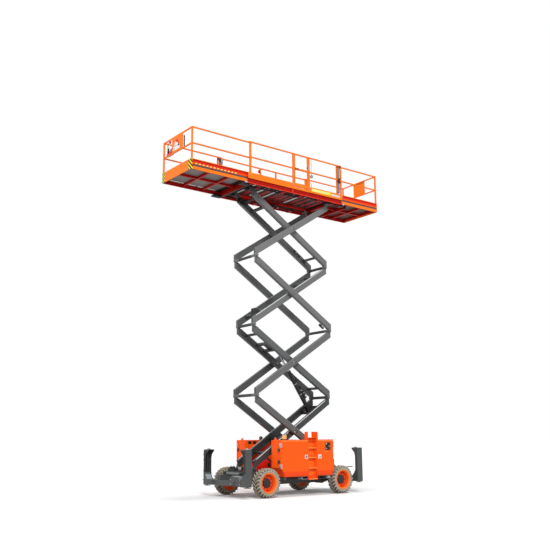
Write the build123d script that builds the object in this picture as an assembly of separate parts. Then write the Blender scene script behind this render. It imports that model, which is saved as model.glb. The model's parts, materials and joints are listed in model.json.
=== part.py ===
from build123d import *
import os
from math import asin, cos, degrees, hypot, radians, sin, sqrt

os.makedirs("parts", exist_ok=True)

# Rough-terrain scissor lift, millimetres, +Z up, ground at Z = 0.
# -X is the front (steering) end, -Y the left side, where the entry gate and ladder are.
# The origin is on the ground below the middle of the extended platform.

# ---------------------------------------------------------------- driving dimensions
# running gear
wheelbase = 2871.0
wheels_mid_x = 181.0          # middle of the wheelbase, from the origin
tyre_d = 838.0
tyre_w = 300.0
overall_w = 2302.0            # over the tyres
tyre_shoulder = 45.0
rim_d = 573.0                 # over the rim's lip
rim_wall = 12.0
rim_lip = 22.0
rim_dish = 150.0              # from the lip back to the rim's disc
hub_d = 235.0
hub_out = 40.0                # the hub cap stands out from the disc
kingpin_in = 361.0            # kingpin in from the tyre's outer side
kingpin_r = 22.0
ram_r = 38.0                  # steering cylinder
ram_gap = 20.0                # its ends from the chassis rails
spindle_r = 40.0
running_fit = 0.05            # radial clearance of pins in their holes
rear_tube_r = 70.0
seat_gap = 0.3                # between a round piece and the seat that holds it

# scissor arms
arm_over = 780.0              # arm, pin to pin, longer than the wheelbase
arm_rest_deg = 36.1           # slope of the line of end pins
arm_depth = 190.0
arm_w = 110.0
pin_offset = 105.0            # end pins stand off the beam's centreline
lane_gap = 32.0               # between inner and outer arms
track_in = 255.0              # roller track's outer side in from the deck's side
stages = 4
fixed_pin_ahead = 1.5         # fixed pins, ahead of the front axle
bottom_pin_rise = 165.0       # above the chassis rails
tip_r = 60.0                  # round end of an arm about its pin
tip_cut = 128.0               # slant of the cut at an arm's end
low_tip = 30.0                # lowest arms' ends: cut nearer the pin
low_cut = 180.0
tip_start = 85.0              # the full section stops this far before the pin
tongue_t = 40.0
fork_gap = 48.0
end_pin_r = 30.0
centre_pin_r = 35.0
open_fit = 0.3                # radial clearance at the rear pins, where the linkage is opened
cross_tube_r = 45.0
collar_r = 48.0
collar_t = 12.0
lane_play = 0.5
brace = 60.0                  # square brace tube
roller_r = 45.7
roller_gap = 46.0
roller_w = 37.0
roller_play = 7.0             # from the arm's side to the roller
track_wall = 10.0
track_bed = 43.0              # flat that the roller runs on
track_lip = 30.0              # guide along its outer side
raised_deg = 62.5             # end pins' slope at full height
stowed_deg = 4.3

# lift cylinder, in arm coordinates from the centre pin: along the pin line, across it
barrel_pin = (1217.0, 125.0)
rod_pin = (437.0, 170.0)
barrel_r = 65.0
barrel_len = 1290.0
rod_r = 42.0
rod_inside = 590.0            # rod inside the barrel at rest
gland_r = 72.0
gland_len = 60.0
lug_t = 20.0
eye_w = 90.0
eye_r = 58.0
lug_play = 3.0
lift_pin_r = 32.0

# chassis
# heights on the chassis are over the axles' line
rail_w = 160.0
rail_out = 56.0               # rail's outer side beyond the inner arms' middle
rail_h = (21.0, 221.0)
belly_down = 89.0             # rails reach down this far between the axles
belly_clear = (450.0, 90.0)   # from the front and rear axles
nose_x = (-482.5, -345.5)     # beam over the rails' front ends, from the front axle
nose_h = (201.0, 316.0)
nose_out = 40.0               # its ends beyond the rails' outer sides
nose_wall = 8.0
cross_member_h = (41.0, 181.0)
cross_member_w = 100.0
front_members = (-444.5, 735.5)   # cross members, from the front axle
mid_member_x = 300.0          # from the wheelbase middle
rear_members = (-335.5, 464.5)    # from the rear axle
bearer_arch_gap = 45.5        # cover box bearers' middles from the wheel arches
bearer_mid = (-250.0, 380.0)  # from the wheelbase middle
track_bearer_in = 284.0       # from the track's rear end
bearer_h = 90.0
box_behind = 455.5            # cover boxes, from the front axle
box_ahead = 365.5             # and from the rear axle
box_in = 31.0                 # box side in from the tyres' outer side
box_play = 8.0                # box's inner side from the roller track
box_h = (147.0, 1207.0)
box_wall = 20.0
door_t = 30.0
door_gap = 5.0
hinge_over_arch = 23.15       # lower door hinge over the front door's wheel arch edge
door_hinge_pitch = 607.0
arch_room = 191.0             # front wheel arch, room to steer
rear_arch_room = 41.0
ladder_x = (50.0, 410.0)
ladder_depth = 140.0
ladder_foot_down = 110.0      # below the box's floor
step_t = 26.0
step_up = (-80.0, 237.0, 540.0, 825.0)    # treads, from the box's floor
step_foot_out = 28.0
foot_plate_t = 6.0
foot_depth = 40.0
column_over = 66.0            # ladder column above the box
grab_t = 12.0                 # grab plates beside the column's head
grab_over = 236.0             # above the box
front_grab_y = (970.0, 1120.0)
rear_grab_y = (850.0, 1135.0)
rear_grab_off = 15.0          # behind the column
grab_corner = 60.0
peak_y = (770.0, 930.0)       # lifting eye plate on the box's front edge
peak_h = 82.0
post_w = 60.0
pocket_x = (15.0, 690.0)      # forklift pockets, from the wheelbase middle
pocket_w = 320.0
pocket_h = 90.0
pocket_wall = 8.0
engine_len = 1050.0
engine_h = 560.0
engine_behind = 350.0         # from the box's front end
engine_gap = (35.0, 157.0)    # from the box's inner and outer sides
beacon_behind = 395.0         # from the box's front end
beacon_in = 120.0             # from its inner side
beacon_r = 66.0
beacon_foot = 28.0
beacon_h = 135.0

# outriggers
leg_web = 215.0
leg_depth = 110.0
leg_in = 51.0                 # leg's outer side in from the tyres' outer side
leg_t = 10.0
leg_h = (-89.0, 946.0)
leg_front_gap = 165.5         # from the tyre's tread to the leg
leg_rear_gap = 240.5
rail_in_front = 130.0         # chassis rails run this far into the front crossbeam
rail_in_rear = 55.0
cap_over = 150.0
cap_t = 16.0
crossbeam_h = (-79.0, 71.0)
jack_r = 46.0
jack_rod_r = 34.0
jack_fit = 0.3
jack_len = 880.0
pad_r = 100.0
pad_t = 14.0
pad_down = 30.0               # pad's underside below the leg
foot_top = (190.0, 340.0)     # foot plates' upper edge over the crossbeam's underside
tie_t = 24.0
tie_r = 62.0
tie_hole_r = 22.0
tie_from_leg = 540.0          # lugs in from the leg's outer side
tie_out = 40.0
jack_travel = 380.0

# platform
front_out = 2017.5            # front extension beyond the main deck when out
rear_out = 1722.5
deck_ahead = 559.0            # main deck ahead of the fixed pins
deck_over = 274.0             # main deck longer than an arm, pin to pin
main_w = 1830.0
deck_over_pin = 220.5         # deck surface above the upper arm pins
deck_t = 30.0
tread_t = 4.0                 # tread plate on the main deck, between the extension's rails
tread_gap = 5.0
fascia_drop = 230.0           # side channel's underside below the deck
fascia_t = 10.0
fascia_in = 30.0              # its web stands this far inside the deck's side
fascia_lip = 40.0
toe_h = 120.0
toe_down = 75.0               # toe boards' lower edge below the deck
toe_t = 6.0
guard_h = 1150.0              # guard rail over the deck
guard_mid_h = 630.0
post = 45.0
bar = 38.0
post_end_in = (91.0, 22.5)    # end posts in from the main deck's ends
gate_posts = (1813.0, 2483.0) # gate posts from the main deck's front end
ext_play = 15.0               # extension's side from the posts
ext_plate_t = 20.0
ext_deck_drop = 42.0          # extension deck below the main deck
ext_deck_t = 18.0
ext_beam_h = 78.0
ext_beam_w = 60.0
ext_low_drop = 185.0          # lower side beam's underside below the main deck
ext_low_h = 95.0
ext_low_w = 40.0
ext_channel_h = 142.0         # side channel's top above the main deck
ext_lip_h = 22.0
ext_strip_h = (-25.0, 30.0)   # pierced strip along the channel, from the main deck
ext_strip_in = 8.0
ext_member_pitch = 720.0
channel_in = 22.0             # channel web stands this far inside the extension's side
channel_web = 8.0
slide_gap = 12.0
ext_lap = 170.0               # how far an extension stays inside the main deck
end_plate_t = 12.0
end_cut = 35.0
panel_t = 4.0
front_panel_y = (-350.0, 310.0)
rear_panel_y = (-290.0, 290.0)
cross_drop = 250.0            # bearers' underside below the main deck
cross_h = 50.0
clevis_top_drop = 152.0
deck_bearer_w = 100.0
deck_bearer_in = (127.0, 94.0)    # end bearers' middles in from the deck's ends
deck_bearer_mid = (1477.0, 2177.0, 2977.0)   # others from the deck's front end
slide_pad_w = 40.0
slide_pad_in = 5.0
clevis_r = 52.0
gate_gap = 12.0
gate_bar = 56.0
gate_hinge_h = (270.0, 890.0)
hinge_r = 11.0
hinge_pin_r = 6.0
hinge_h = 130.0
hinge_mid = 60.0
hinge_play = 1.0
hinge_leaf = 34.0
leaf_t = 5.0
front_travel = 1600.0
rear_travel = 1150.0

# ---------------------------------------------------------------- worked-out values
theta = radians(arm_rest_deg)
arm_pitch = wheelbase + arm_over
stage_run = arm_pitch * cos(theta)
stage_rise = arm_pitch * sin(theta)
offset_angle = asin(2 * pin_offset / arm_pitch)
pin_x = arm_pitch / 2 * cos(offset_angle)
beam_angle = arm_rest_deg - degrees(offset_angle)
half_depth = arm_depth / 2
front_axle_x = wheels_mid_x - wheelbase / 2
rear_axle_x = wheels_mid_x + wheelbase / 2
wheel_z = tyre_d / 2
wheel_out_y = overall_w / 2
wheel_in_y = wheel_out_y - tyre_w
hub_face_y = wheel_out_y - rim_dish
kingpin_y = wheel_out_y - kingpin_in
rail_z = (wheel_z + rail_h[0], wheel_z + rail_h[1])
cross_member_z = (wheel_z + cross_member_h[0], wheel_z + cross_member_h[1])
fixed_pin_x = front_axle_x - fixed_pin_ahead
bottom_pin_z = rail_z[1] + bottom_pin_rise
top_pin_z = bottom_pin_z + stages * stage_rise
deck_top_z = top_pin_z + deck_over_pin
rail_top_z = deck_top_z + guard_h
rail_mid_z = deck_top_z + guard_mid_h
ext_deck_top_z = deck_top_z - ext_deck_drop
ext_beam_z = (ext_deck_top_z - ext_deck_t - ext_beam_h, ext_deck_top_z - ext_deck_t)
ext_low_z = (deck_top_z - ext_low_drop, deck_top_z - ext_low_drop + ext_low_h)
ext_top_z = deck_top_z + ext_channel_h
ext_strip_z = (deck_top_z + ext_strip_h[0], deck_top_z + ext_strip_h[1])
fascia_z = (deck_top_z - fascia_drop, deck_top_z)
toe_z = (deck_top_z - toe_down, deck_top_z + toe_h)
cross_z = (deck_top_z - cross_drop, deck_top_z - cross_drop + cross_h)
clevis_top_z = deck_top_z - clevis_top_drop
gate_hinge_z = (deck_top_z + gate_hinge_h[0], deck_top_z + gate_hinge_h[1])
main_half = main_w / 2
ext_half = main_half - post - ext_play
outer_lane_y = main_half - track_in - track_wall - track_bed - (roller_play - 1.0) - arm_w / 2
inner_lane_y = outer_lane_y - arm_w - lane_gap
roller_in_y = outer_lane_y + arm_w / 2 + roller_play
track_in_y = roller_in_y - 1.0
track_out_y = track_in_y + track_bed + track_wall
rail_y = (inner_lane_y + rail_out - rail_w, inner_lane_y + rail_out)
box_low_x = front_axle_x + box_behind
box_high_x = rear_axle_x - box_ahead
box_y = (track_out_y + box_play, wheel_out_y - box_in)
box_z = (wheel_z + box_h[0], wheel_z + box_h[1])
arch_r = wheel_z + arch_room
rear_arch_r = wheel_z + rear_arch_room
arch_edge = sqrt((arch_r + box_wall + door_gap) ** 2 - (box_behind + box_wall) ** 2)
low_hinge_z = wheel_z + arch_edge + hinge_over_arch
door_hinge_z = (low_hinge_z, low_hinge_z + door_hinge_pitch)
leg_y = wheel_out_y - leg_in
leg_z = (wheel_z + leg_h[0], wheel_z + leg_h[1])
crossbeam_z = (wheel_z + crossbeam_h[0], wheel_z + crossbeam_h[1])
pad_z = leg_z[0] - pad_down
tie_y = leg_y - tie_from_leg
front_leg_x = (front_axle_x - wheel_z - leg_front_gap - leg_web, front_axle_x - wheel_z - leg_front_gap)
rear_leg_x = (rear_axle_x + wheel_z + leg_rear_gap, rear_axle_x + wheel_z + leg_rear_gap + leg_web)
rail_x = (front_leg_x[1] - rail_in_front, rear_leg_x[0] + rail_in_rear)
main_deck_x = (fixed_pin_x - deck_ahead, fixed_pin_x - deck_ahead + arm_pitch + deck_over)
front_end_x = main_deck_x[0] - front_out
rear_end_x = main_deck_x[1] + rear_out
main_posts_x = (
    main_deck_x[0] + post_end_in[0],
    main_deck_x[0] + gate_posts[0],
    main_deck_x[0] + gate_posts[1],
    main_deck_x[1] - post_end_in[1],
)
front_bearer_x = main_deck_x[0] + deck_bearer_in[0]
rear_bearer_x = main_deck_x[1] - deck_bearer_in[1]
bearer_x = (front_bearer_x - deck_bearer_w / 2, front_bearer_x + deck_bearer_w / 2)

# ---------------------------------------------------------------- shape helpers
def block(x, y, z):
    """Box between low and high corners, each axis a (low, high) pair."""
    centre = Pos((x[0] + x[1]) / 2, (y[0] + y[1]) / 2, (z[0] + z[1]) / 2)
    return centre * Box(x[1] - x[0], y[1] - y[0], z[1] - z[0])


def rod_x(y, z, x0, x1, r):
    return Pos((x0 + x1) / 2, y, z) * Rot(0, 90, 0) * Cylinder(r, x1 - x0)


def rod_y(x, z, y0, y1, r):
    return Pos(x, (y0 + y1) / 2, z) * Rot(90, 0, 0) * Cylinder(r, y1 - y0)


def rod_z(x, y, z0, z1, r):
    return Pos(x, y, (z0 + z1) / 2) * Cylinder(r, z1 - z0)


def plate_y(points, y0, y1):
    """Outline of (x, z) points, solid from y0 to y1."""
    side = Plane(origin=(0, y1, 0), x_dir=(1, 0, 0), z_dir=(0, -1, 0))
    outline = side * Polyline(*points, close=True)
    return extrude(make_face(outline), amount=y1 - y0, dir=(0, -1, 0))


def plate_x(points, x0, x1):
    """Outline of (y, z) points, solid from x0 to x1."""
    side = Plane(origin=(x0, 0, 0), x_dir=(0, 1, 0), z_dir=(1, 0, 0))
    outline = side * Polyline(*points, close=True)
    return extrude(make_face(outline), amount=x1 - x0, dir=(1, 0, 0))


def mirrored(shape):
    """The same piece on the other side of the machine."""
    return mirror(shape, about=Plane.XZ)


def both_sides(shape):
    return shape + mirrored(shape)


def fused(shapes):
    """One shape from a list."""
    total = shapes[0]
    for shape in shapes[1:]:
        total = total + shape
    return total


def save(name, shape):
    export_step(shape, "parts/" + name + ".step")


def hinge(x, y, z, fixed_sign, leaf_y):
    """Fixed and moving halves of an upright hinge: knuckles on a pin at (x, y).

    fixed_sign is the way from the pin to the fixed leaf along X; leaf_y is the (low, high)
    of both leaves.
    """
    fixed_x = sorted((x, x + fixed_sign * hinge_leaf))
    moving_x = sorted((x, x - fixed_sign * hinge_leaf))
    upper = (z + hinge_mid / 2 + hinge_play, z + hinge_h / 2)
    lower = (z - hinge_h / 2, z - hinge_mid / 2 - hinge_play)
    middle = (z - hinge_mid / 2, z + hinge_mid / 2)
    fixed = rod_z(x, y, lower[0], upper[1], hinge_pin_r)
    for tall in (upper, lower):
        fixed = fixed + rod_z(x, y, *tall, hinge_r) + block(fixed_x, leaf_y, tall)
    moving = rod_z(x, y, *middle, hinge_r) + block(moving_x, leaf_y, middle)
    moving = moving - rod_z(x, y, *middle, hinge_pin_r + running_fit)
    return fixed, moving


# ---------------------------------------------------------------- scissor arms
# An arm is drawn about its centre pin, upper end towards +X; the arms that rise to the
# front are the mirror image. Its lower end is a fork that carries the pin, its upper end
# a tongue.
def arm_end(side, tip, cut):
    """Outline of an upper end: slanted cut, then round about the pin."""
    points = [
        (pin_x - 300, -half_depth),
        (pin_x + tip - cut, -half_depth),
        (pin_x + tip, pin_offset),
        (pin_x, pin_offset),
        (pin_x, half_depth),
        (pin_x - 300, half_depth),
    ]
    end = plate_y(points, side[0], side[1])
    return end + rod_y(pin_x, pin_offset, side[0], side[1], tip_r)


def arm_beam(lane_y, hole_fit, low_end):
    """One side arm: beam, tongue with its hole, fork without its pin.

    low_end is the lower end's (tip, cut).
    """
    side = (lane_y - arm_w / 2, lane_y + arm_w / 2)
    beam = block((-pin_x + tip_start, pin_x - tip_start), side, (-half_depth, half_depth))
    upper = arm_end(side, tip_r, tip_cut)
    for cheek in ((side[0], lane_y - tongue_t / 2), (lane_y + tongue_t / 2, side[1])):
        upper = upper - block((pin_x - tip_start, pin_x + 200), cheek, (-300, 300))
    if hole_fit is not None:
        upper = upper - rod_y(pin_x, pin_offset, side[0], side[1], end_pin_r + hole_fit)
    lower = Rot(0, 180, 0) * arm_end(side, *low_end)
    slot = (lane_y - fork_gap / 2, lane_y + fork_gap / 2)
    lower = lower - block((-pin_x - 200, -pin_x + tip_start), slot, (-300, 300))
    return beam + upper + lower


def braces(places):
    """Square tubes between the inner arms, each (along, across, size) in arm coordinates."""
    reach = inner_lane_y - arm_w / 2
    tubes = []
    for along, across, size in places:
        half = size / 2
        tubes.append(
            block((along - half, along + half), (-reach, reach), (across - half, across + half))
        )
    return tubes


def arm_pair(lane_y, hole_fit, lower_end, upper_end="tongue", low_end=(tip_r, tip_cut)):
    """Left and right arms with the cross tube and pins of their lower end."""
    arm = arm_beam(lane_y, hole_fit, low_end)
    out_y = lane_y + arm_w / 2
    in_y = lane_y - arm_w / 2
    if lower_end == "roller":
        arm = arm + rod_y(-pin_x, -pin_offset, in_y, roller_in_y + 1, end_pin_r)
        arm = arm + rod_y(-pin_x, -pin_offset, roller_in_y, roller_in_y + roller_w, roller_r)
    else:
        arm = arm + rod_y(-pin_x, -pin_offset, in_y, out_y + 1, end_pin_r)
        arm = arm + rod_y(-pin_x, -pin_offset, out_y, out_y + collar_t, collar_r)
    if upper_end == "roller":
        tongue_in = lane_y - tongue_t / 2
        arm = arm + rod_y(pin_x, pin_offset, tongue_in - collar_t, roller_in_y + 1, end_pin_r)
        arm = arm + rod_y(pin_x, pin_offset, roller_in_y, roller_in_y + roller_w, roller_r)
    if lane_y == inner_lane_y:
        head_y = outer_lane_y + arm_w / 2
        arm = arm + rod_y(0, 0, in_y, head_y + collar_t, centre_pin_r)
        arm = arm + rod_y(0, 0, head_y + lane_play, head_y + collar_t, collar_r)
        arm = arm + rod_y(0, 0, out_y, outer_lane_y - arm_w / 2 - lane_play, collar_r)
    else:
        arm = arm - rod_y(0, 0, in_y, out_y, centre_pin_r + running_fit)
    cross = rod_y(-pin_x, -pin_offset, -in_y - 1, in_y + 1, cross_tube_r)
    return both_sides(arm) + cross


def pin_line_point(along, across):
    """Arm coordinates of a point given along and across the line of end pins."""
    c, s = cos(offset_angle), sin(offset_angle)
    return along * c - across * s, along * s + across * c


def lugs(centre, foot, spread, reach):
    """Two lug plates about a pin, from a foot (along from, to, across) on the arm's tubes."""
    x, z = centre
    plates = []
    for y0 in (spread, -spread - lug_t):
        points = [(foot[0], foot[2]), (foot[1], foot[2]), (x + reach, z), (x - reach, z)]
        plates.append(plate_y(points, y0, y0 + lug_t) + rod_y(x, z, y0, y0 + lug_t, reach))
    return plates


def placed_arm(shape, stage, rises_rearward):
    centre_z = bottom_pin_z + (stage - 0.5) * stage_rise
    place = Pos(fixed_pin_x + stage_run / 2, 0, centre_z)
    if rises_rearward:
        return place * Rot(0, -beam_angle, 0) * shape
    return place * Rot(0, beam_angle, 0) * mirror(shape, about=Plane.YZ)


eye_side = eye_w / 2 + lug_play
barrel_at = pin_line_point(*barrel_pin)
rod_at = pin_line_point(*rod_pin)

# inner arms, stage 1: carries the lift cylinder's barrel between lugs on two tubes
inner_1 = arm_pair(inner_lane_y, open_fit, "pin", low_end=(low_tip, low_cut))
inner_1 = fused(
    [inner_1]
    + braces([(-1100, -40, brace), (-350, -40, brace), (1180, -50, 80), (1480, -45, 80)])
    + lugs(barrel_at, (1150, 1500, -60), eye_side, lift_pin_r + 30)
)
inner_1 = inner_1 + rod_y(*barrel_at, -eye_side - lug_t, eye_side + lug_t, lift_pin_r)
outer_1 = arm_pair(outer_lane_y, running_fit, "roller")
outer_2 = arm_pair(outer_lane_y, open_fit, "pin")
# inner arms, stage 2: lug plates for the cylinder's rod eye; the pin is left open
inner_2 = arm_pair(inner_lane_y, running_fit, "pin")
inner_2 = fused(
    [inner_2]
    + braces([(-1500, 40, brace), (640, 30, 80), (960, 30, 80), (1450, 30, brace)])
    + lugs(rod_at, (600, 980, 20), eye_side, lift_pin_r + 34)
)
# inner arms, stage 3: bracket for an upper cylinder near the front end
inner_3 = arm_pair(inner_lane_y, open_fit, "pin")
inner_3 = fused(
    [inner_3]
    + braces([(-1430, 30, 80), (-1130, 30, 80), (900, -30, brace), (1450, -30, brace)])
    + lugs((-1280.0, 165.0), (-1470, -1090, 20), eye_side, lift_pin_r + 30)
)
outer_3 = arm_pair(outer_lane_y, running_fit, "pin")
outer_4 = arm_pair(outer_lane_y, None, "pin", "roller")
inner_4 = arm_pair(inner_lane_y, running_fit, "pin")
inner_4 = fused([inner_4] + braces([(-1400, 0, brace), (1150, 0, 80), (1550, 30, brace)]))

arm_table = [
    # node, shape, stage, rises to the rear
    ("inner_arms_1", inner_1, 1, True),
    ("outer_arms_1", outer_1, 1, False),
    ("outer_arms_2", outer_2, 2, True),
    ("inner_arms_2", inner_2, 2, False),
    ("inner_arms_3", inner_3, 3, True),
    ("outer_arms_3", outer_3, 3, False),
    ("outer_arms_4", outer_4, 4, True),
    ("inner_arms_4", inner_4, 4, False),
]
for node, shape, stage, rearward in arm_table:
    save(node, placed_arm(shape, stage, rearward))


# ---------------------------------------------------------------- lift cylinder
def machine_point(arm_point, stage, rises_rearward):
    """Machine (x, z) of a point given along and across an arm's pin line."""
    along, across = arm_point
    sign = 1 if rises_rearward else -1
    x = fixed_pin_x + stage_run / 2 + sign * (along * cos(theta) - across * sin(theta))
    z = bottom_pin_z + (stage - 0.5) * stage_rise + along * sin(theta) + across * cos(theta)
    return x, z


low_x, low_z = machine_point(barrel_pin, 1, True)
high_x, high_z = machine_point(rod_pin, 2, False)
lift_len = hypot(high_x - low_x, high_z - low_z)
lift_angle = degrees(asin((high_z - low_z) / lift_len))


def on_cylinder(shape):
    """From cylinder coordinates, +X from barrel pin to rod pin, into the machine."""
    return Pos(low_x, 0, low_z) * Rot(0, lift_angle - 180, 0) * shape


barrel_start = lift_pin_r + 40
barrel = rod_x(0, 0, barrel_start, barrel_len, barrel_r)
barrel = barrel + block((eye_r - 20, barrel_start + 5), (-eye_w / 2, eye_w / 2), (-50, 50))
barrel = barrel + rod_x(0, 0, barrel_len - gland_len, barrel_len, gland_r)
barrel = barrel - rod_x(0, 0, 150, barrel_len, rod_r + 0.5)
barrel = barrel + rod_y(0, 0, -eye_w / 2, eye_w / 2, eye_r)
barrel = barrel - rod_y(0, 0, -eye_w, eye_w, lift_pin_r + running_fit)
save("cylinder_barrel", on_cylinder(barrel))

rod_start = barrel_len - rod_inside
rod = rod_x(0, 0, rod_start, lift_len - eye_r + 10, rod_r)
rod = rod + rod_y(lift_len, 0, -eye_w / 2, eye_w / 2, eye_r)
save("cylinder_rod", on_cylinder(rod))

# ---------------------------------------------------------------- chassis
belly_x = (front_axle_x + belly_clear[0], rear_axle_x - belly_clear[1])
rails = block(rail_x, rail_y, rail_z) + block(belly_x, rail_y, (wheel_z - belly_down, rail_z[0] + 1))
frame_pieces = [both_sides(rails)]
member_x = [front_axle_x + x for x in front_members] + [wheels_mid_x + mid_member_x]
member_x = member_x + [rear_axle_x + x for x in rear_members]
for x in member_x:
    wide = (x - cross_member_w / 2, x + cross_member_w / 2)
    frame_pieces.append(block(wide, (-rail_y[0] - 1, rail_y[0] + 1), cross_member_z))
# the rear axle's tube passes through the rails
frame_pieces[0] = frame_pieces[0] - rod_y(rear_axle_x, wheel_z, -1000, 1000, rear_tube_r + seat_gap)
# lugs for the fixed lower pins, one between each inner arm's fork plates
lug_side = (inner_lane_y - tongue_t / 2, inner_lane_y + tongue_t / 2)
lug_points = [
    (fixed_pin_x - 130, rail_z[1] - 5),
    (fixed_pin_x + 130, rail_z[1] - 5),
    (fixed_pin_x + tip_r, bottom_pin_z),
    (fixed_pin_x - tip_r, bottom_pin_z),
]
lug = plate_y(lug_points, *lug_side) + rod_y(fixed_pin_x, bottom_pin_z, *lug_side, tip_r)
lug = lug - rod_y(fixed_pin_x, bottom_pin_z, 0, 1000, end_pin_r + running_fit)
frame_pieces.append(both_sides(lug))
# hollow beam across the rails' front ends
nose = [(front_axle_x + nose_x[0], front_axle_x + nose_x[1]), (wheel_z + nose_h[0], wheel_z + nose_h[1])]
nose_half = rail_y[1] + nose_out
nose_beam = block(nose[0], (-nose_half, nose_half), nose[1])
nose_core = [(low + nose_wall, high - nose_wall) for low, high in nose]
frame_pieces.append(nose_beam - block(nose_core[0], (-nose_half - 1, nose_half + 1), nose_core[1]))
# roller tracks for the sliding lower pins: a flat with a guide lip along its outer side
low_run = fixed_pin_x + arm_pitch * cos(radians(raised_deg))
high_run = fixed_pin_x + arm_pitch * cos(radians(stowed_deg))
track_x = (low_run - 120, high_run + 100)


def track(x, z, way):
    """Track on the +Y side, under (way -1) or over (way 1) the rollers at height z."""
    face = z + way * roller_gap
    back = face + way * track_wall
    edge = face - way * (track_lip - track_wall)
    flat = block(x, (track_in_y, track_out_y), sorted((face, back)))
    return flat + block(x, (track_out_y - track_wall, track_out_y), sorted((edge, back)))


frame_pieces.append(both_sides(track(track_x, bottom_pin_z, -1)))
# outrigger arms of the frame carry the tracks and the cover boxes
bearer_top = bottom_pin_z - roller_gap - track_wall
box_bearers = [front_axle_x + arch_r + bearer_arch_gap] + [wheels_mid_x + x for x in bearer_mid]
box_bearers = box_bearers + [rear_axle_x - rear_arch_r - bearer_arch_gap]
for x in box_bearers + [track_x[1] - track_bearer_in]:
    out_y = box_y[1] - 60 if x < box_high_x else track_out_y
    frame_pieces.append(
        both_sides(block((x - 40, x + 40), (rail_y[1] - 1, out_y), (box_z[0] - bearer_h, box_z[0])))
    )
    if x > track_x[0]:
        frame_pieces.append(
            both_sides(
                block((x - 30, x + 30), (track_out_y - track_wall, track_out_y), (box_z[0] - 5, bearer_top + 1))
            )
        )
# forklift pockets, square tubes right across below the rails
pockets = []
for x in pocket_x:
    x += wheels_mid_x
    wide = (x - pocket_w / 2, x + pocket_w / 2)
    tall = (box_z[0] - pocket_h, box_z[0])
    inner_wide = (wide[0] + pocket_wall, wide[1] - pocket_wall)
    inner_tall = (tall[0] + pocket_wall, tall[1] - pocket_wall)
    sleeve = block(wide, (rail_y[1] - 1, box_y[1] - 42), tall)
    sleeve = sleeve - block(inner_wide, (rail_y[1] - 1, box_y[1]), inner_tall)
    pockets.append(both_sides(sleeve))
    hole = block(inner_wide, (-rail_y[1] - 1, rail_y[1] + 1), inner_tall)
    frame_pieces = [piece - hole for piece in frame_pieces[:1]] + frame_pieces[1:]
chassis = fused(frame_pieces + pockets)
save("chassis_frame", chassis)


# ---------------------------------------------------------------- cover boxes and doors
def arches(extra):
    """Wheel wells, front and rear, widened by extra."""
    front = rod_y(front_axle_x, wheel_z, 0, 2000, arch_r + extra)
    return front + rod_y(rear_axle_x, wheel_z, 0, 2000, rear_arch_r + extra)


def cover_box(opening_posts, with_ladder):
    """Hollow box on the +Y side, open outward between its end walls and posts."""
    x = (box_low_x, box_high_x)
    shell = block(x, box_y, box_z) - arches(0)
    inner = block(
        (x[0] + box_wall, x[1] - box_wall),
        (box_y[0] + box_wall, box_y[1] + 1),
        (box_z[0] + box_wall, box_z[1] - box_wall),
    )
    shell = shell - (inner - arches(box_wall))
    for low, high in opening_posts:
        shell = shell + block(
            (wheels_mid_x + low, wheels_mid_x + high),
            (box_y[1] - ladder_depth, box_y[1]),
            (box_z[0] + 1, box_z[1] - 1),
        )
    peak_points = [
        (peak_y[0], box_z[1] - 1),
        (peak_y[1], box_z[1] - 1),
        ((peak_y[0] + peak_y[1]) / 2, box_z[1] + peak_h),
    ]
    shell = shell + plate_x(peak_points, x[0], x[0] + grab_t)
    if with_ladder:
        shell = shell + ladder_cheeks()
    return shell


def ladder_cheeks():
    """Recessed climbing column: back and cheeks with steps, down past the box's floor."""
    low, high = wheels_mid_x + ladder_x[0], wheels_mid_x + ladder_x[1]
    back_y = box_y[1] - ladder_depth
    foot_z = box_z[0] - ladder_foot_down
    foot_y = box_y[1] - foot_depth
    column = block((low, high), (back_y, box_y[1]), (foot_z, box_z[1] + column_over))
    column = column - block(
        (low + box_wall, high - box_wall),
        (back_y + box_wall, box_y[1] + 1),
        (foot_z - 1, box_z[1] + column_over - box_wall),
    )
    column = column - block((low - 1, high + 1), (back_y - 1, foot_y), (0, box_z[0]))
    column = column + block((low + 1, high - 1), (foot_y, foot_y + foot_plate_t), (foot_z, box_z[0] + 1))
    for z in [box_z[0] + up for up in step_up]:
        out_y = box_y[1] + (step_foot_out if z < box_z[0] else 0)
        in_y = foot_y if z < box_z[0] else back_y
        column = column + block((low + 1, high - 1), (in_y, out_y), (z - step_t, z))
    # grab plates beside the head of the column
    grab_z = (box_z[1] - 1, box_z[1] + grab_over)
    column = column + block((low, low + grab_t), front_grab_y, grab_z)
    corner_y = rear_grab_y[1] - grab_corner
    corner_z = grab_z[1] - grab_corner
    grab_x = (high + rear_grab_off, high + rear_grab_off + grab_t)
    grab = block(grab_x, rear_grab_y, (grab_z[0], corner_z))
    grab = grab + block(grab_x, (rear_grab_y[0], corner_y), (grab_z[0], grab_z[1]))
    return column + grab + rod_x(corner_y, corner_z, *grab_x, grab_corner)


left_box = cover_box([], True)
left_box = left_box - block(
    (wheels_mid_x + ladder_x[0] + box_wall, wheels_mid_x + ladder_x[1] - box_wall),
    (box_y[1] - ladder_depth + box_wall, box_y[1] + 1),
    (box_z[0] - 1, box_z[1] - box_wall),
) + ladder_cheeks()
right_box = cover_box([(ladder_x[0], ladder_x[0] + post_w)], False)


def door(x0, x1):
    """Flat cover door that fills an opening from x0 to x1 on the +Y side."""
    panel = block(
        (x0 + door_gap, x1 - door_gap),
        (box_y[1] - door_t, box_y[1]),
        (box_z[0] + box_wall + door_gap, box_z[1] - box_wall - door_gap),
    )
    return panel - arches(box_wall + door_gap)


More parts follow.
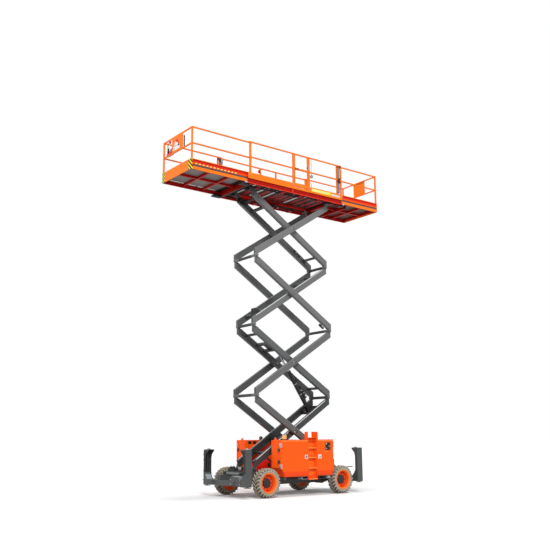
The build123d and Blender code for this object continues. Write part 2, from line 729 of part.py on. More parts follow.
ladder_low = wheels_mid_x + ladder_x[0]
ladder_high = wheels_mid_x + ladder_x[1]
open_low = box_low_x + box_wall
open_high = box_high_x - box_wall
hinge_y = box_y[1] + hinge_r + 1
leaf_y = (box_y[1], box_y[1] + leaf_t)
door_table = [
    # node, low end, high end of the opening, hinge at, way to the fixed leaf
    ("left_front_door", open_low, ladder_low, open_low, -1),
    ("left_rear_door", ladder_high, open_high, open_high, 1),
    ("right_front_door", open_low, ladder_low, open_low, -1),
    ("right_rear_door", ladder_low + post_w, open_high, open_high, 1),
]
boxes = {"left": left_box, "right": right_box}
for node, low, high, edge, fixed_sign in door_table:
    panel = door(low, high)
    side = node.split("_")[0]
    for z in door_hinge_z:
        fixed, moving = hinge(edge, hinge_y, z, fixed_sign, leaf_y)
        boxes[side] = boxes[side] + fixed
        panel = panel + moving
    save(node, mirrored(panel) if side == "left" else panel)
save("left_box", mirrored(boxes["left"]))
save("right_box", boxes["right"])

engine_x = (box_low_x + engine_behind, box_low_x + engine_behind + engine_len)
engine_y = (box_y[0] + engine_gap[0], box_y[1] - engine_gap[1])
engine_z = (box_z[0] + box_wall, box_z[0] + box_wall + engine_h)
save("engine", block(engine_x, engine_y, engine_z))

# warning lamp on the left box's top
beacon_at = (box_low_x + beacon_behind, -box_y[0] - beacon_in)
beacon = rod_z(*beacon_at, box_z[1], box_z[1] + beacon_foot, beacon_r - 8)
beacon = beacon + rod_z(*beacon_at, box_z[1] + beacon_foot - 1, box_z[1] + beacon_h, beacon_r)
save("beacon", beacon)

# ---------------------------------------------------------------- axles and wheels
rear_axle = rod_y(rear_axle_x, wheel_z, -hub_face_y + 62, hub_face_y - 62, rear_tube_r)
rear_axle = rear_axle + rod_y(rear_axle_x, wheel_z, -140, 140, 150)
spindle_in_y = hub_face_y - 62
spindle_out_y = hub_face_y + 20
rear_axle = rear_axle + both_sides(
    rod_y(rear_axle_x, wheel_z, spindle_in_y, spindle_out_y, spindle_r)
)
save("rear_axle", rear_axle)

ear_z = (wheel_z - 115, wheel_z - 85, wheel_z + 85, wheel_z + 115)
front_axle = block(
    (front_axle_x - 60, front_axle_x + 60), (-kingpin_y + 90, kingpin_y - 90), (wheel_z - 60, wheel_z + 20)
)
front_axle = front_axle + rod_y(front_axle_x, wheel_z, -140, 140, 140)
hanger = block((front_axle_x - 80, front_axle_x + 80), rail_y, (wheel_z, rail_z[0]))
yoke = block((front_axle_x - 50, front_axle_x + 50), (kingpin_y - 130, kingpin_y - 70), (ear_z[0], ear_z[3]))
for low, high in ((ear_z[0], ear_z[1]), (ear_z[2], ear_z[3])):
    ear = block((front_axle_x - 45, front_axle_x + 45), (kingpin_y - 130, kingpin_y), (low, high))
    yoke = yoke + ear + rod_z(front_axle_x, kingpin_y, low, high, 45)
yoke = yoke - rod_z(front_axle_x, kingpin_y, 0, 1000, kingpin_r + running_fit)
front_axle = front_axle + both_sides(hanger) + both_sides(yoke)
steer_x = front_axle_x - 170
ram_half = rail_y[0] - ram_gap
front_axle = front_axle + rod_y(steer_x, wheel_z + 20, -ram_half, ram_half, ram_r)
front_axle = front_axle + both_sides(
    block((steer_x, front_axle_x - 50), (ram_half - 70, ram_half - 30), (wheel_z - 40, wheel_z + 10))
)
save("front_axle", front_axle)

knuckle = rod_z(front_axle_x, kingpin_y, ear_z[1] + 1, ear_z[2] - 1, 52)
knuckle = knuckle + rod_z(front_axle_x, kingpin_y, ear_z[0] - 8, ear_z[3] + 8, kingpin_r)
knuckle = knuckle + rod_y(front_axle_x, wheel_z, kingpin_y, spindle_out_y, spindle_r)
knuckle = knuckle + rod_y(front_axle_x, wheel_z, kingpin_y + 40, hub_face_y - 62, 75)
save("right_knuckle", knuckle)
save("left_knuckle", mirrored(knuckle))

tyre_r = tyre_d / 2
rim_r = rim_d / 2
tyre_section = Plane.YZ * Polyline(
    (wheel_in_y, rim_r - 2),
    (wheel_in_y, tyre_r - tyre_shoulder),
    (wheel_in_y + tyre_shoulder, tyre_r),
    (wheel_out_y - tyre_shoulder, tyre_r),
    (wheel_out_y, tyre_r - tyre_shoulder),
    (wheel_out_y, rim_r - 2),
    close=True,
)
tyre = revolve(make_face(tyre_section), Axis.Y)
bore_r = spindle_r + running_fit
rim_points = [
    (wheel_in_y + 4, rim_r - rim_wall - 2),
    (wheel_in_y + 4, rim_r - 2),
    (wheel_out_y - 4, rim_r - 2),
    (wheel_out_y - 4, rim_r - rim_lip),
    (wheel_out_y - 18, rim_r - rim_lip),
    (wheel_out_y - 40, rim_r - rim_lip - 20),
    (hub_face_y + 12, rim_r - rim_lip - 28),
    (hub_face_y + 12, hub_d / 2),
    (hub_face_y + hub_out, hub_d / 2),
    (hub_face_y + hub_out, 0),
    (spindle_out_y + 1, 0),
    (spindle_out_y + 1, bore_r),
    (hub_face_y - 60, bore_r),
    (hub_face_y - 60, hub_d / 2 - 10),
    (hub_face_y - 6, hub_d / 2 - 10),
    (hub_face_y - 6, rim_r - rim_lip - 28 - rim_wall),
    (wheel_in_y + 60, rim_r - rim_wall - 14),
]
rim = revolve(make_face(Plane.YZ * Polyline(*rim_points, close=True)), Axis.Y)
for end, x in (("front", front_axle_x), ("rear", rear_axle_x)):
    at = Pos(x, 0, wheel_z)
    save("right_" + end + "_tyre", at * tyre)
    save("left_" + end + "_tyre", mirrored(at * tyre))
    save("right_" + end + "_rim", at * rim)
    save("left_" + end + "_rim", mirrored(at * rim))


# ---------------------------------------------------------------- outriggers
def outrigger_leg(x0, x1):
    """Channel column on the +Y side, open inward, with the jack's tube inside."""
    y0 = leg_y - leg_depth
    column = block((x0, x1), (y0, leg_y), leg_z)
    column = column - block((x0 + leg_t, x1 - leg_t), (y0 - 1, leg_y - leg_t), (leg_z[0] - 1, leg_z[1] + 1))
    cap_points = [
        (leg_y, leg_z[1] - cap_t),
        (leg_y, leg_z[1]),
        (y0 - cap_over, leg_z[1]),
        (y0 - cap_over, leg_z[1] - 40),
        (y0 - 30, leg_z[1] - 150),
        (y0, leg_z[1] - 260),
        (y0 + 30, leg_z[1] - 260),
        (y0 + 30, leg_z[1] - cap_t),
    ]
    cap = plate_x(cap_points, x0, x0 + leg_t) + plate_x(cap_points, x1 - leg_t, x1)
    cap = cap + block((x0, x1), (y0 - cap_over, leg_y), (leg_z[1] - cap_t, leg_z[1]))
    foot_points = [
        (leg_y - 5, leg_z[0]),
        (y0 - 150, leg_z[0]),
        (y0 - 150, crossbeam_z[1]),
        (y0 - 60, crossbeam_z[0] + foot_top[0]),
        (y0 + 20, crossbeam_z[0] + foot_top[1]),
        (leg_y - 5, crossbeam_z[0] + foot_top[1]),
    ]
    foot = plate_x(foot_points, x0, x0 + leg_t) + plate_x(foot_points, x1 - leg_t, x1)
    foot = foot + block((x0, x1), (y0 - 1, leg_y), (leg_z[0], leg_z[0] + cap_t))
    mid_x = (x0 + x1) / 2
    jack_y = leg_y - leg_depth / 2
    tube = rod_z(mid_x, jack_y, leg_z[1] - jack_len, leg_z[1] - 1, jack_r)
    bore = rod_z(mid_x, jack_y, 0, leg_z[1] - 60, jack_rod_r + jack_fit)
    return column + cap + foot + tube - bore


def outrigger_frame(x0, x1, out_sign):
    """Both legs of one end on their crossbeam, with tie-down lugs facing outward."""
    mid_x = (x0 + x1) / 2
    crossbeam_w = leg_web - 2 * leg_t
    beam_x = (mid_x - crossbeam_w / 2, mid_x + crossbeam_w / 2)
    y_in = leg_y - leg_depth - 1
    shape = both_sides(outrigger_leg(x0, x1)) + block(beam_x, (-y_in, y_in), crossbeam_z)
    face_x = mid_x + out_sign * crossbeam_w / 2
    eye_x = face_x + out_sign * tie_out
    low, high = sorted((face_x - out_sign * 5, eye_x))
    tie_z = (crossbeam_z[0] + crossbeam_z[1]) / 2
    side = (tie_y - tie_t / 2, tie_y + tie_t / 2)
    tie = block((low, high), side, (tie_z - tie_r, tie_z + tie_r)) + rod_y(eye_x, tie_z, *side, tie_r)
    tie = tie - rod_y(eye_x, tie_z, *side, tie_hole_r)
    return shape + both_sides(tie)


leg_places = {"front": (*front_leg_x, -1), "rear": (*rear_leg_x, 1)}
for end, (x0, x1, sign) in leg_places.items():
    shape = outrigger_frame(x0, x1, sign)
    shape = shape - both_sides(block(rail_x, rail_y, rail_z))
    save(end + "_outriggers", shape)
    mid_x = (x0 + x1) / 2
    jack_y = leg_y - leg_depth / 2
    jack = rod_z(mid_x, jack_y, pad_z + pad_t - 1, leg_z[1] - 80, jack_rod_r)
    jack = jack + rod_z(mid_x, jack_y, pad_z, pad_z + pad_t, pad_r)
    save("right_" + end + "_jack", jack)
    save("left_" + end + "_jack", mirrored(jack))

# ---------------------------------------------------------------- platform, main deck
main_len = (main_deck_x[0], main_deck_x[1])
web_out_y = main_half - fascia_in
web_in_y = web_out_y - fascia_t
side_channel = block(main_len, (web_in_y, web_out_y), fascia_z)
side_channel = side_channel + block(main_len, (web_in_y, main_half), (fascia_z[0], fascia_z[0] + fascia_lip))
platform_pieces = [both_sides(side_channel)]
# sill below the entry gate
sill_x = (main_posts_x[1] + post / 2 + 1, main_posts_x[2] - post / 2 - 1)
platform_pieces.append(mirrored(block(sill_x, (web_in_y, main_half), (toe_z[0], deck_top_z))))
deck_z = (deck_top_z - deck_t, deck_top_z)
slot_y = ext_half - channel_in - slide_gap
platform_pieces.append(block(main_len, (-slot_y, slot_y), deck_z))
tread_half = ext_half - post - tread_gap
platform_pieces.append(block(main_len, (-tread_half, tread_half), (deck_top_z - 1, deck_top_z + tread_t)))
tie_x = (main_deck_x[0] + ext_lap + front_travel + 30, main_deck_x[1] - ext_lap - rear_travel - 30)
platform_pieces.append(block(tie_x, (-web_in_y - 1, web_in_y + 1), deck_z))
top_track_x = (low_run - 120, high_run + 130)
platform_pieces.append(both_sides(track(top_track_x, top_pin_z, 1)))
hanger_z = (cross_z[0], top_pin_z + roller_gap + track_wall)
deck_bearers = [front_bearer_x] + [main_deck_x[0] + x for x in deck_bearer_mid] + [rear_bearer_x]
half_bearer = deck_bearer_w / 2
for x in deck_bearers:
    wide = (x - half_bearer, x + half_bearer)
    platform_pieces.append(both_sides(block(wide, (track_out_y - track_wall, web_out_y - 1), cross_z)))
    if x > top_track_x[0]:
        platform_pieces.append(both_sides(block(wide, (track_out_y - track_wall, track_out_y + 20), hanger_z)))
# forward bearer with the clevises for the fixed upper pins, and side bearers to the tracks
platform_pieces.append(block(bearer_x, (-web_out_y + 1, web_out_y - 1), cross_z))
platform_pieces.append(block(bearer_x, (-track_out_y, track_out_y), (cross_z[0], clevis_top_z)))
platform_pieces.append(
    both_sides(block((bearer_x[0], top_track_x[0] + 1), (track_out_y - track_wall, track_out_y), cross_z))
)
platform_pieces.append(
    block((top_track_x[1] - 50, top_track_x[1]), (-track_out_y, track_out_y), (cross_z[0] + 5, hanger_z[1]))
)
clevis_points = [
    (bearer_x[1] - 5, cross_z[0]),
    (fixed_pin_x, top_pin_z - clevis_r),
    (fixed_pin_x, top_pin_z + clevis_r),
    (bearer_x[1] - 5, clevis_top_z),
]
for side in (
    (inner_lane_y - arm_w / 2, inner_lane_y - fork_gap / 2),
    (inner_lane_y + fork_gap / 2, inner_lane_y + arm_w / 2),
):
    cheek = plate_y(clevis_points, *side) + rod_y(fixed_pin_x, top_pin_z, *side, clevis_r)
    platform_pieces.append(both_sides(cheek))
platform_pieces.append(
    both_sides(
        rod_y(fixed_pin_x, top_pin_z, inner_lane_y - arm_w / 2, inner_lane_y + arm_w / 2, end_pin_r)
    )
)
# wear pads that the extensions' lower side beams slide on
for x in (bearer_x, (rear_bearer_x - half_bearer, rear_bearer_x + half_bearer)):
    wear_y = (ext_half - slide_pad_w, ext_half)
    wear_x = (x[0] + slide_pad_in, x[1] - slide_pad_in)
    wear_z = (cross_z[1] - 1, ext_low_z[0] - seat_gap)
    platform_pieces.append(both_sides(block(wear_x, wear_y, wear_z)))
save("platform_frame", fused(platform_pieces))


def square_z(x, y, z0, z1, size):
    return block((x - size / 2, x + size / 2), (y - size / 2, y + size / 2), (z0, z1))


def bar_x(x0, x1, y, z):
    return block((x0, x1), (y - bar / 2, y + bar / 2), (z - bar / 2, z + bar / 2))


rail_post_y = main_half - post / 2
post_top = rail_top_z


def side_rails(posts_x, toe_x):
    """Posts, top and middle rails and toe board along the +Y side."""
    pieces = [square_z(x, rail_post_y, deck_top_z, post_top, post) for x in posts_x]
    for z in (rail_top_z - bar / 2, rail_mid_z):
        pieces.append(bar_x(posts_x[0] - post / 2, posts_x[-1] + post / 2, rail_post_y, z))
    pieces.append(block(toe_x, (main_half - toe_t, main_half), toe_z))
    return fused(pieces)


save("right_rails", side_rails(main_posts_x, main_len))
left_front = side_rails(main_posts_x[:2], (main_len[0], main_posts_x[1] + post / 2))
left_rear = side_rails(main_posts_x[2:], (main_posts_x[2] - post / 2, main_len[1]))

# entry gate between the middle posts on the left, hinged on the forward one
gate_x = (main_posts_x[1] + post / 2 + gate_gap, main_posts_x[2] - post / 2 - gate_gap)
gate_y = (main_half - post, main_half)
gate_z = (deck_top_z + 25, rail_top_z - 4)
gate = block(gate_x, gate_y, gate_z)
inside = (gate_x[0] + bar, gate_x[1] - bar)
gate = gate - block(inside, gate_y, (rail_mid_z + gate_bar / 2, gate_z[1] - bar))
gate = gate - block(inside, gate_y, (deck_top_z + toe_h + 20, rail_mid_z - gate_bar / 2))
gate_hinge_x = gate_x[0] - gate_gap / 2
gate_hinge_y = gate_y[0] - hinge_r - 1
gate_leaf_y = (gate_y[0] - leaf_t, gate_y[0])
for z in gate_hinge_z:
    fixed, moving = hinge(gate_hinge_x, gate_hinge_y, z, -1, gate_leaf_y)
    left_front = left_front + fixed
    gate = gate + moving
save("left_rails", mirrored(left_front + left_rear))
save("entry_gate", mirrored(gate))


# ---------------------------------------------------------------- extensions
def extension(end_x, inner_x):
    """Deck, underframe and side channels from the outer end plate to the inner end."""
    sign = 1 if end_x > inner_x else -1
    x = sorted((end_x - sign * end_plate_t, inner_x))
    deck = block(x, (-ext_half + 20, ext_half - 20), (ext_deck_top_z - ext_deck_t, ext_deck_top_z))
    pieces = [deck]
    pieces.append(block(x, (-ext_beam_w / 2, ext_beam_w / 2), ext_beam_z))
    length = x[1] - x[0]
    count = max(2, round(length / ext_member_pitch))
    for i in range(count + 1):
        centre = x[0] + 30 + (length - 60) * i / count
        pieces.append(
            block((centre - 30, centre + 30), (-ext_half + ext_low_w - 1, ext_half - ext_low_w + 1), ext_beam_z)
        )
    low = block(x, (ext_half - ext_low_w, ext_half), ext_low_z)
    web_y = (ext_half - channel_in, ext_half - channel_in + channel_web)
    web = block(x, web_y, (ext_low_z[1] - 1, ext_top_z))
    lip = block(x, (ext_half - channel_in, ext_half), (ext_top_z - ext_lip_h, ext_top_z))
    strip = block(x, (ext_half - channel_in, ext_half - ext_strip_in), ext_strip_z)
    pieces.append(both_sides(low + web + lip + strip))
    return fused(pieces)


def extension_end(end_x, sign):
    """End plate across the extension, lower corners cut back."""
    x0, x1 = sorted((end_x, end_x - sign * end_plate_t))
    low, high = ext_low_z[0], ext_top_z
    points = [
        (-ext_half + end_cut, low),
        (ext_half - end_cut, low),
        (ext_half, low + end_cut),
        (ext_half, high),
        (-ext_half, high),
        (-ext_half, low + end_cut),
    ]
    return plate_x(points, x0, x1)


def extension_rails(end_x, inner_x, panel_y):
    """Rails on three sides of an extension, posts at its four corners, a panel on the end."""
    sign = 1 if end_x > inner_x else -1
    y = ext_half - post / 2
    corner_x = end_x - sign * (end_plate_t + post / 2)
    inner_post_x = inner_x + sign * post / 2
    pieces = []
    for side in (-1, 1):
        for x in (corner_x, inner_post_x):
            pieces.append(square_z(x, side * y, ext_top_z, rail_top_z, post))
        for z in (rail_top_z - bar / 2, rail_mid_z):
            low, high = sorted((corner_x, inner_post_x))
            pieces.append(bar_x(low, high, side * y, z))
    for z in (rail_top_z - bar / 2, rail_mid_z):
        pieces.append(block((corner_x - bar / 2, corner_x + bar / 2), (-y, y), (z - bar / 2, z + bar / 2)))
    panel_x = sorted((corner_x + sign * (bar / 2 - 1), corner_x + sign * (bar / 2 + panel_t)))
    panel_z = (rail_mid_z + 1, rail_top_z - 1)
    pieces.append(block(panel_x, panel_y, panel_z))
    return fused(pieces)


front_inner_x = main_deck_x[0] + ext_lap
rear_inner_x = main_deck_x[1] - ext_lap
save("front_extension", extension(front_end_x, front_inner_x) + extension_end(front_end_x, -1))
save("rear_extension", extension(rear_end_x, rear_inner_x) + extension_end(rear_end_x, 1))
front_rails = extension_rails(front_end_x, front_inner_x, front_panel_y)
rear_rails = extension_rails(rear_end_x, rear_inner_x, rear_panel_y)
save("front_extension_rails", front_rails)
save("rear_extension_rails", rear_rails)
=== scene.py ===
import bmesh
import bpy
import json
from math import asin, atan2, cos, hypot, pi, radians, sin
from mathutils import Matrix, Vector


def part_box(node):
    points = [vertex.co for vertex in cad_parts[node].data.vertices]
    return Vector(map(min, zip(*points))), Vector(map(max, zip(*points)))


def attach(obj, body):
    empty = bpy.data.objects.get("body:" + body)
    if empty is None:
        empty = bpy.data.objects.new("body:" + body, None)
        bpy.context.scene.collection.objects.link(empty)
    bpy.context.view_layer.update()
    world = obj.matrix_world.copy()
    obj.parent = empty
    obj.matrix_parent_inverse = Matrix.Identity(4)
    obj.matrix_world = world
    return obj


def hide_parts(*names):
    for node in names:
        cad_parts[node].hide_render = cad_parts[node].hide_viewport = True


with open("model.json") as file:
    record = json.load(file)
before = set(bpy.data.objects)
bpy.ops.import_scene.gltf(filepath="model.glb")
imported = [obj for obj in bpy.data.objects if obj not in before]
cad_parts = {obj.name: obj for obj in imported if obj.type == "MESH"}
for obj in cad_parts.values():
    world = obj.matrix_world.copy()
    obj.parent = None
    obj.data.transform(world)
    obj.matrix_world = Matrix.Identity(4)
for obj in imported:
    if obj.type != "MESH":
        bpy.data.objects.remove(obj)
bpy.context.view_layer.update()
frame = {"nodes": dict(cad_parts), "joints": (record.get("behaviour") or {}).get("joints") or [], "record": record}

# Rough-terrain scissor lift, metres. -X is the front, -Y the side with ladder and gate.
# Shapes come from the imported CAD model; this script gives them their finishes and adds
# the trim, each piece on the CAD body that it moves with.

NODES = frame["nodes"]
PIVOT = {j["name"]: Vector(j["pos_m"]) for j in frame["joints"] if "pos_m" in j}
SIDES = {"left": -1, "right": 1}
UP, FORWARD, OUT, INWARD = (0, 0, 1), (-1, 0, 0), (0, 1, 0), (0, -1, 0)

# ---- driving sizes
PIN_OFFSET = 0.105            # an arm's end pins stand off its centreline
ARM_DEPTH = 0.19
ARM_W = 0.11
COLLAR = 0.012
LANES = {"inner": 0.404, "outer": 0.546}     # middles of the arms, across
RIM_DISH = 0.15
HUB_R = 0.1175
RIM_R = 0.2865
TYRE_R = 0.419
TYRE_HALF = 0.15
LUGS = 24                     # tread lugs on each side of a tyre
SHARP = 0.62                  # radians; edges that turn more than this are drawn sharp

# ---- shader helpers
def screen(r, g, b):
    """Linear colour that shows as this 8-bit one under plain light."""
    out = []
    for c in (r / 255, g / 255, b / 255):
        out.append(c / 12.92 if c <= 0.04045 else ((c + 0.055) / 1.055) ** 2.4)
    return (*out, 1.0)


def node(tree, kind, inputs=None, **settings):
    n = tree.nodes.new("ShaderNode" + kind)
    for key, value in settings.items():
        setattr(n, key, value)
    for key, value in (inputs or {}).items():
        if isinstance(value, bpy.types.NodeSocket):
            tree.links.new(value, n.inputs[key])
        else:
            n.inputs[key].default_value = value
    return n


def calc(tree, operation, a, b=0.0):
    return node(tree, "Math", {0: a, 1: b}, operation=operation).outputs[0]


def vector(tree, operation, a, b=(0.0, 0.0, 0.0)):
    return node(tree, "VectorMath", {0: a, 1: b}, operation=operation).outputs[0]


def blended(tree, factor, a, b):
    return node(tree, "Mix", {0: factor, 6: a, 7: b}, data_type="RGBA").outputs[2]


def ranged(tree, value, low, high, to_low, to_high):
    inputs = {0: value, 1: low, 2: high, 3: to_low, 4: to_high}
    return node(tree, "MapRange", inputs).outputs[0]


def noise(tree, place, scale, detail=4.0):
    return node(tree, "TexNoise", {"Vector": place, "Scale": scale, "Detail": detail}).outputs[0]


def box_mask(tree, place, low, high):
    """1 inside a box given in the machine's coordinates, else 0."""
    middle = [(a + b) / 2 for a, b in zip(low, high)]
    half = [(b - a) / 2 for a, b in zip(low, high)]
    off = vector(tree, "SUBTRACT", place, middle)
    off = vector(tree, "SUBTRACT", vector(tree, "ABSOLUTE", off), half)
    parts = node(tree, "SeparateXYZ", {0: off}).outputs
    worst = calc(tree, "MAXIMUM", calc(tree, "MAXIMUM", parts[0], parts[1]), parts[2])
    return calc(tree, "LESS_THAN", worst, 0.0)


def zone(x, y, z, *colour, both=True):
    """Box of another colour, 8-bit or ready-made, on both sides or as given."""
    colour = screen(*colour) if len(colour) == 3 else colour[0]
    return (*zip(x, y, z), colour, both)


FINISHES = {}


def finish(name, colour, rough=0.45, metal=0.0, gloss=0.3, spread=0.06, patch=1.7, grain=55.0,
           bump=0.12, depth=0.0008, dust=0.0, dust_top=1.2, chips=0.0, zones=(), hazard=None,
           coat=0.0, barrel_highlight=None):
    """Material with mottled colour, grain in its roughness and bump, dust that thickens
    towards the ground, and chips. Hazard is (low, high, first colour, second, pitch).
    The barrel argument is (middle, half the wheelbase, axle's height, radius, colour outside it): a painted
    highlight, the rims' barrels lighter outside that radius."""
    m = bpy.data.materials.new(name)
    m.use_nodes = True
    t = m.node_tree
    shader = t.nodes["Principled BSDF"]
    shader.inputs["Metallic"].default_value = metal
    shader.inputs["Specular IOR Level"].default_value = gloss
    shader.inputs["Coat Weight"].default_value = coat
    place = node(t, "TexCoord").outputs["Object"]
    axes = node(t, "SeparateXYZ", {0: place}).outputs
    mirrored = {0: axes[0], 1: calc(t, "ABSOLUTE", axes[1]), 2: axes[2]}
    even = node(t, "CombineXYZ", mirrored).outputs[0]
    fine = noise(t, place, grain, 3.0)
    tint = colour
    for low, high, paint, both in zones:
        tint = blended(t, box_mask(t, even if both else place, low, high), tint, paint)
    if hazard:
        low, high, first, second, pitch = hazard
        run = calc(t, "ADD", axes[2], calc(t, "ABSOLUTE", axes[1]))
        band = calc(t, "FRACT", calc(t, "DIVIDE", calc(t, "ADD", run, axes[0]), pitch))
        stripe = blended(t, calc(t, "LESS_THAN", band, 0.5), second, first)
        tint = blended(t, box_mask(t, even, low, high), tint, stripe)
    # painted highlight: the rims' barrels outside the radius take the lighter colour
    if barrel_highlight:
        middle_x, half_x, axle_z, radius, outer = barrel_highlight
        dx = calc(t, "ABSOLUTE", calc(t, "SUBTRACT", axes[0], middle_x))
        dx = calc(t, "SUBTRACT", dx, half_x)
        dz = calc(t, "SUBTRACT", axes[2], axle_z)
        squares = calc(t, "ADD", calc(t, "MULTIPLY", dx, dx), calc(t, "MULTIPLY", dz, dz))
        r = calc(t, "SQRT", squares)
        tint = blended(t, ranged(t, r, radius - 0.03, radius + 0.03, 0.0, 1.0), tint, outer)
    tone = ranged(t, noise(t, place, patch, 6.0), 0.25, 0.75, 1 - spread, 1 + spread)
    tone = calc(t, "MULTIPLY", tone, ranged(t, fine, 0.3, 0.7, 1 - spread / 3, 1 + spread / 3))
    tint = tint[:3] if isinstance(tint, tuple) else tint
    tint = node(t, "VectorMath", {0: tint, "Scale": tone}, operation="SCALE").outputs[0]
    if chips:
        bare = calc(t, "GREATER_THAN", noise(t, place, grain * 1.7, 2.0), 0.8 - chips * 0.12)
        tint = blended(t, calc(t, "MULTIPLY", bare, 0.7), tint, screen(96, 82, 72))
    if dust:
        near = ranged(t, axes[2], 0.0, dust_top, dust, 0.0)
        uneven = ranged(t, noise(t, place, 6.0, 8.0), 0.35, 0.65, 0.2, 1.0)
        tint = blended(t, calc(t, "MULTIPLY", near, uneven), tint, screen(150, 138, 118))
    t.links.new(tint, shader.inputs["Base Color"])
    t.links.new(ranged(t, fine, 0.3, 0.7, rough - 0.07, rough + 0.07), shader.inputs["Roughness"])
    relief = node(t, "Bump", {"Strength": bump, "Distance": depth, "Height": fine})
    t.links.new(relief.outputs[0], shader.inputs["Normal"])
    FINISHES[name] = m


# ---- mesh helpers
class Shape:
    """Collects rounded blocks, turned parts and plates into one piece of the object.
    Points are measured from `at`; side -1 mirrors them to the machine's left."""

    every = []

    def __init__(self, name, body, slot, *finishes, at=(0, 0, 0), side=1, replaces=()):
        self.name, self.body, self.slot, self.finishes = name, body, slot, finishes
        self.at, self.side, self.replaces = at, side, replaces
        self.bm = bmesh.new()
        Shape.every.append(self)

    def way(self, v):
        return Vector((v[0], self.side * v[1], v[2]))

    def point(self, p):
        return self.way([a + b for a, b in zip(self.at, p)])

    def block(self, low, high, mat=0, edge=0.003, turn=None):
        """Box between two opposite corners, edges rounded; turn is about its middle."""
        size = [abs(b - a) for a, b in zip(low, high)]
        middle = self.point([(a + b) / 2 for a, b in zip(low, high)])
        place = Matrix.Translation(middle) @ (turn or Matrix.Identity(4))
        place = place @ Matrix.Diagonal((*size, 1))
        made = bmesh.ops.create_cube(self.bm, size=1.0, matrix=place)["verts"]
        for f in {f for v in made for f in v.link_faces}:
            f.material_index = mat
        edges = list({e for v in made for e in v.link_edges})
        bmesh.ops.bevel(self.bm, geom=edges, offset=min(edge, min(size) * 0.4), segments=2,
                        profile=0.6, affect="EDGES", material=-1)

    def blocks(self, *rows):
        for row in rows:
            self.block(*row)

    def span(self, x, y, z, mat=0, edge=0.003):
        """Block given by its range along each axis."""
        self.block(*zip(x, y, z), mat, edge)

    def circle(self, middle, side, other, r, n):
        turns = [2 * pi * i / n for i in range(n)]
        places = [middle + (side * cos(a) + other * sin(a)) * r for a in turns]
        return [self.bm.verts.new(p) for p in places]

    def skin(self, rings, mat, closed=False):
        """Faces from ring to ring, and over both ends unless the last ring joins the first."""
        n = max(len(ring) for ring in rings)
        for a, b in zip(rings, rings[1:] + rings[:closed]):
            for i in range(n):
                k = (i + 1) % n
                corners = (a[i % len(a)], a[k % len(a)], b[k % len(b)], b[i % len(b)])
                corners = list(dict.fromkeys(corners))
                if len(corners) > 2:
                    self.bm.faces.new(corners).material_index = mat
        for ring in () if closed else (rings[0], rings[-1]):
            if len(ring) > 1:
                self.bm.faces.new(ring).material_index = mat

    def turned(self, start, way, profile, mat=0, n=24, ring=False):
        """Profile of (distance along way, radius) turned about it. A ring has no ends."""
        start, axis = self.point(start), self.way(way).normalized()
        side = axis.orthogonal().normalized()
        other = axis.cross(side)
        self.skin([self.circle(start + axis * along, side, other, r, n if r > 1e-6 else 1)
                   for along, r in profile], mat, ring)

    def rod(self, start, end, r, mat=0, n=20, edge=0.002):
        """Round bar with chamfered ends."""
        way = Vector(end) - Vector(start)
        edge = min(edge, way.length * 0.4, r * 0.5)
        self.turned(start, way, [(0, r - edge), (edge, r), (way.length - edge, r),
                                 (way.length, r - edge)], mat, n)

    def pole(self, x, y, z, r, mat=0, n=20, edge=0.002):
        """Upright bar between two heights."""
        self.rod((x, y, z[0]), (x, y, z[1]), r, mat, n, edge)

    def bolt(self, start, way, r, mat=0):
        """Hexagon head as tall as way, with a washer under it; start is on the surface."""
        start, way = Vector(start), Vector(way)
        tall = way.length
        self.rod(start, start + way * 0.3, r * 1.35, mat, 16, 0.0006)
        head = [(0, r), (tall * 0.5, r), (tall * 0.7, r * 0.84)]
        self.turned(start + way * 0.3, way, head, mat, 6)

    def plate(self, outline, through, mat=0, edge=0.002):
        """Flat outline of points, thickened by the vector through, edges rounded."""
        through = self.way(through)
        outline = [self.point(p) for p in outline]
        base = [self.bm.verts.new(p) for p in outline]
        top = [self.bm.verts.new(p + through) for p in outline]
        faces = [self.bm.faces.new(base), self.bm.faces.new(top[::-1])]
        for a, b, c, d in zip(base[1:] + base[:1], base, top, top[1:] + top[:1]):
            faces.append(self.bm.faces.new([a, b, c, d]))
        for f in faces:
            f.material_index = mat
        edges = list({e for f in faces for e in f.edges})
        bmesh.ops.bevel(self.bm, geom=edges, offset=min(edge, through.length * 0.4), segments=1,
                        affect="EDGES", material=-1)

    def tube(self, points, r, mat=0, n=12):
        """Pipe through the points, its corners rounded in five steps."""
        path = [self.point(p) for p in points]
        smooth = [path[0]]
        for a, b, c in zip(path, path[1:], path[2:]):
            reach = min((b - a).length * 0.45, (c - b).length * 0.45, r * 6)
            p, q = b + (a - b).normalized() * reach, b + (c - b).normalized() * reach
            for w in (0, 0.2, 0.4, 0.6, 0.8, 1):
                smooth.append(p * (1 - w) ** 2 + b * 2 * w * (1 - w) + q * w * w)
        smooth.append(path[-1])
        side, rings = None, []
        for before, at, after in zip(smooth[:1] + smooth, smooth, smooth[1:] + smooth[-1:]):
            ahead = (after - before).normalized()
            side = (side - ahead * side.dot(ahead) if side else ahead.orthogonal()).normalized()
            rings.append(self.circle(at, side, ahead.cross(side), r, n))
        self.skin(rings, mat)

    def done(self):
        bmesh.ops.recalc_face_normals(self.bm, faces=self.bm.faces)
        for f in self.bm.faces:
            f.smooth = True
        for e in self.bm.edges:
            if len(e.link_faces) == 2 and e.calc_face_angle(0) > SHARP:
                e.smooth = False
        mesh = bpy.data.meshes.new(self.name)
        self.bm.to_mesh(mesh)
        self.bm.free()
        for name in self.finishes:
            mesh.materials.append(FINISHES[name])
        obj = bpy.data.objects.new(self.name, mesh)
        bpy.context.scene.collection.objects.link(obj)
        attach(obj, self.body)
        if self.replaces:
            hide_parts(*self.replaces)


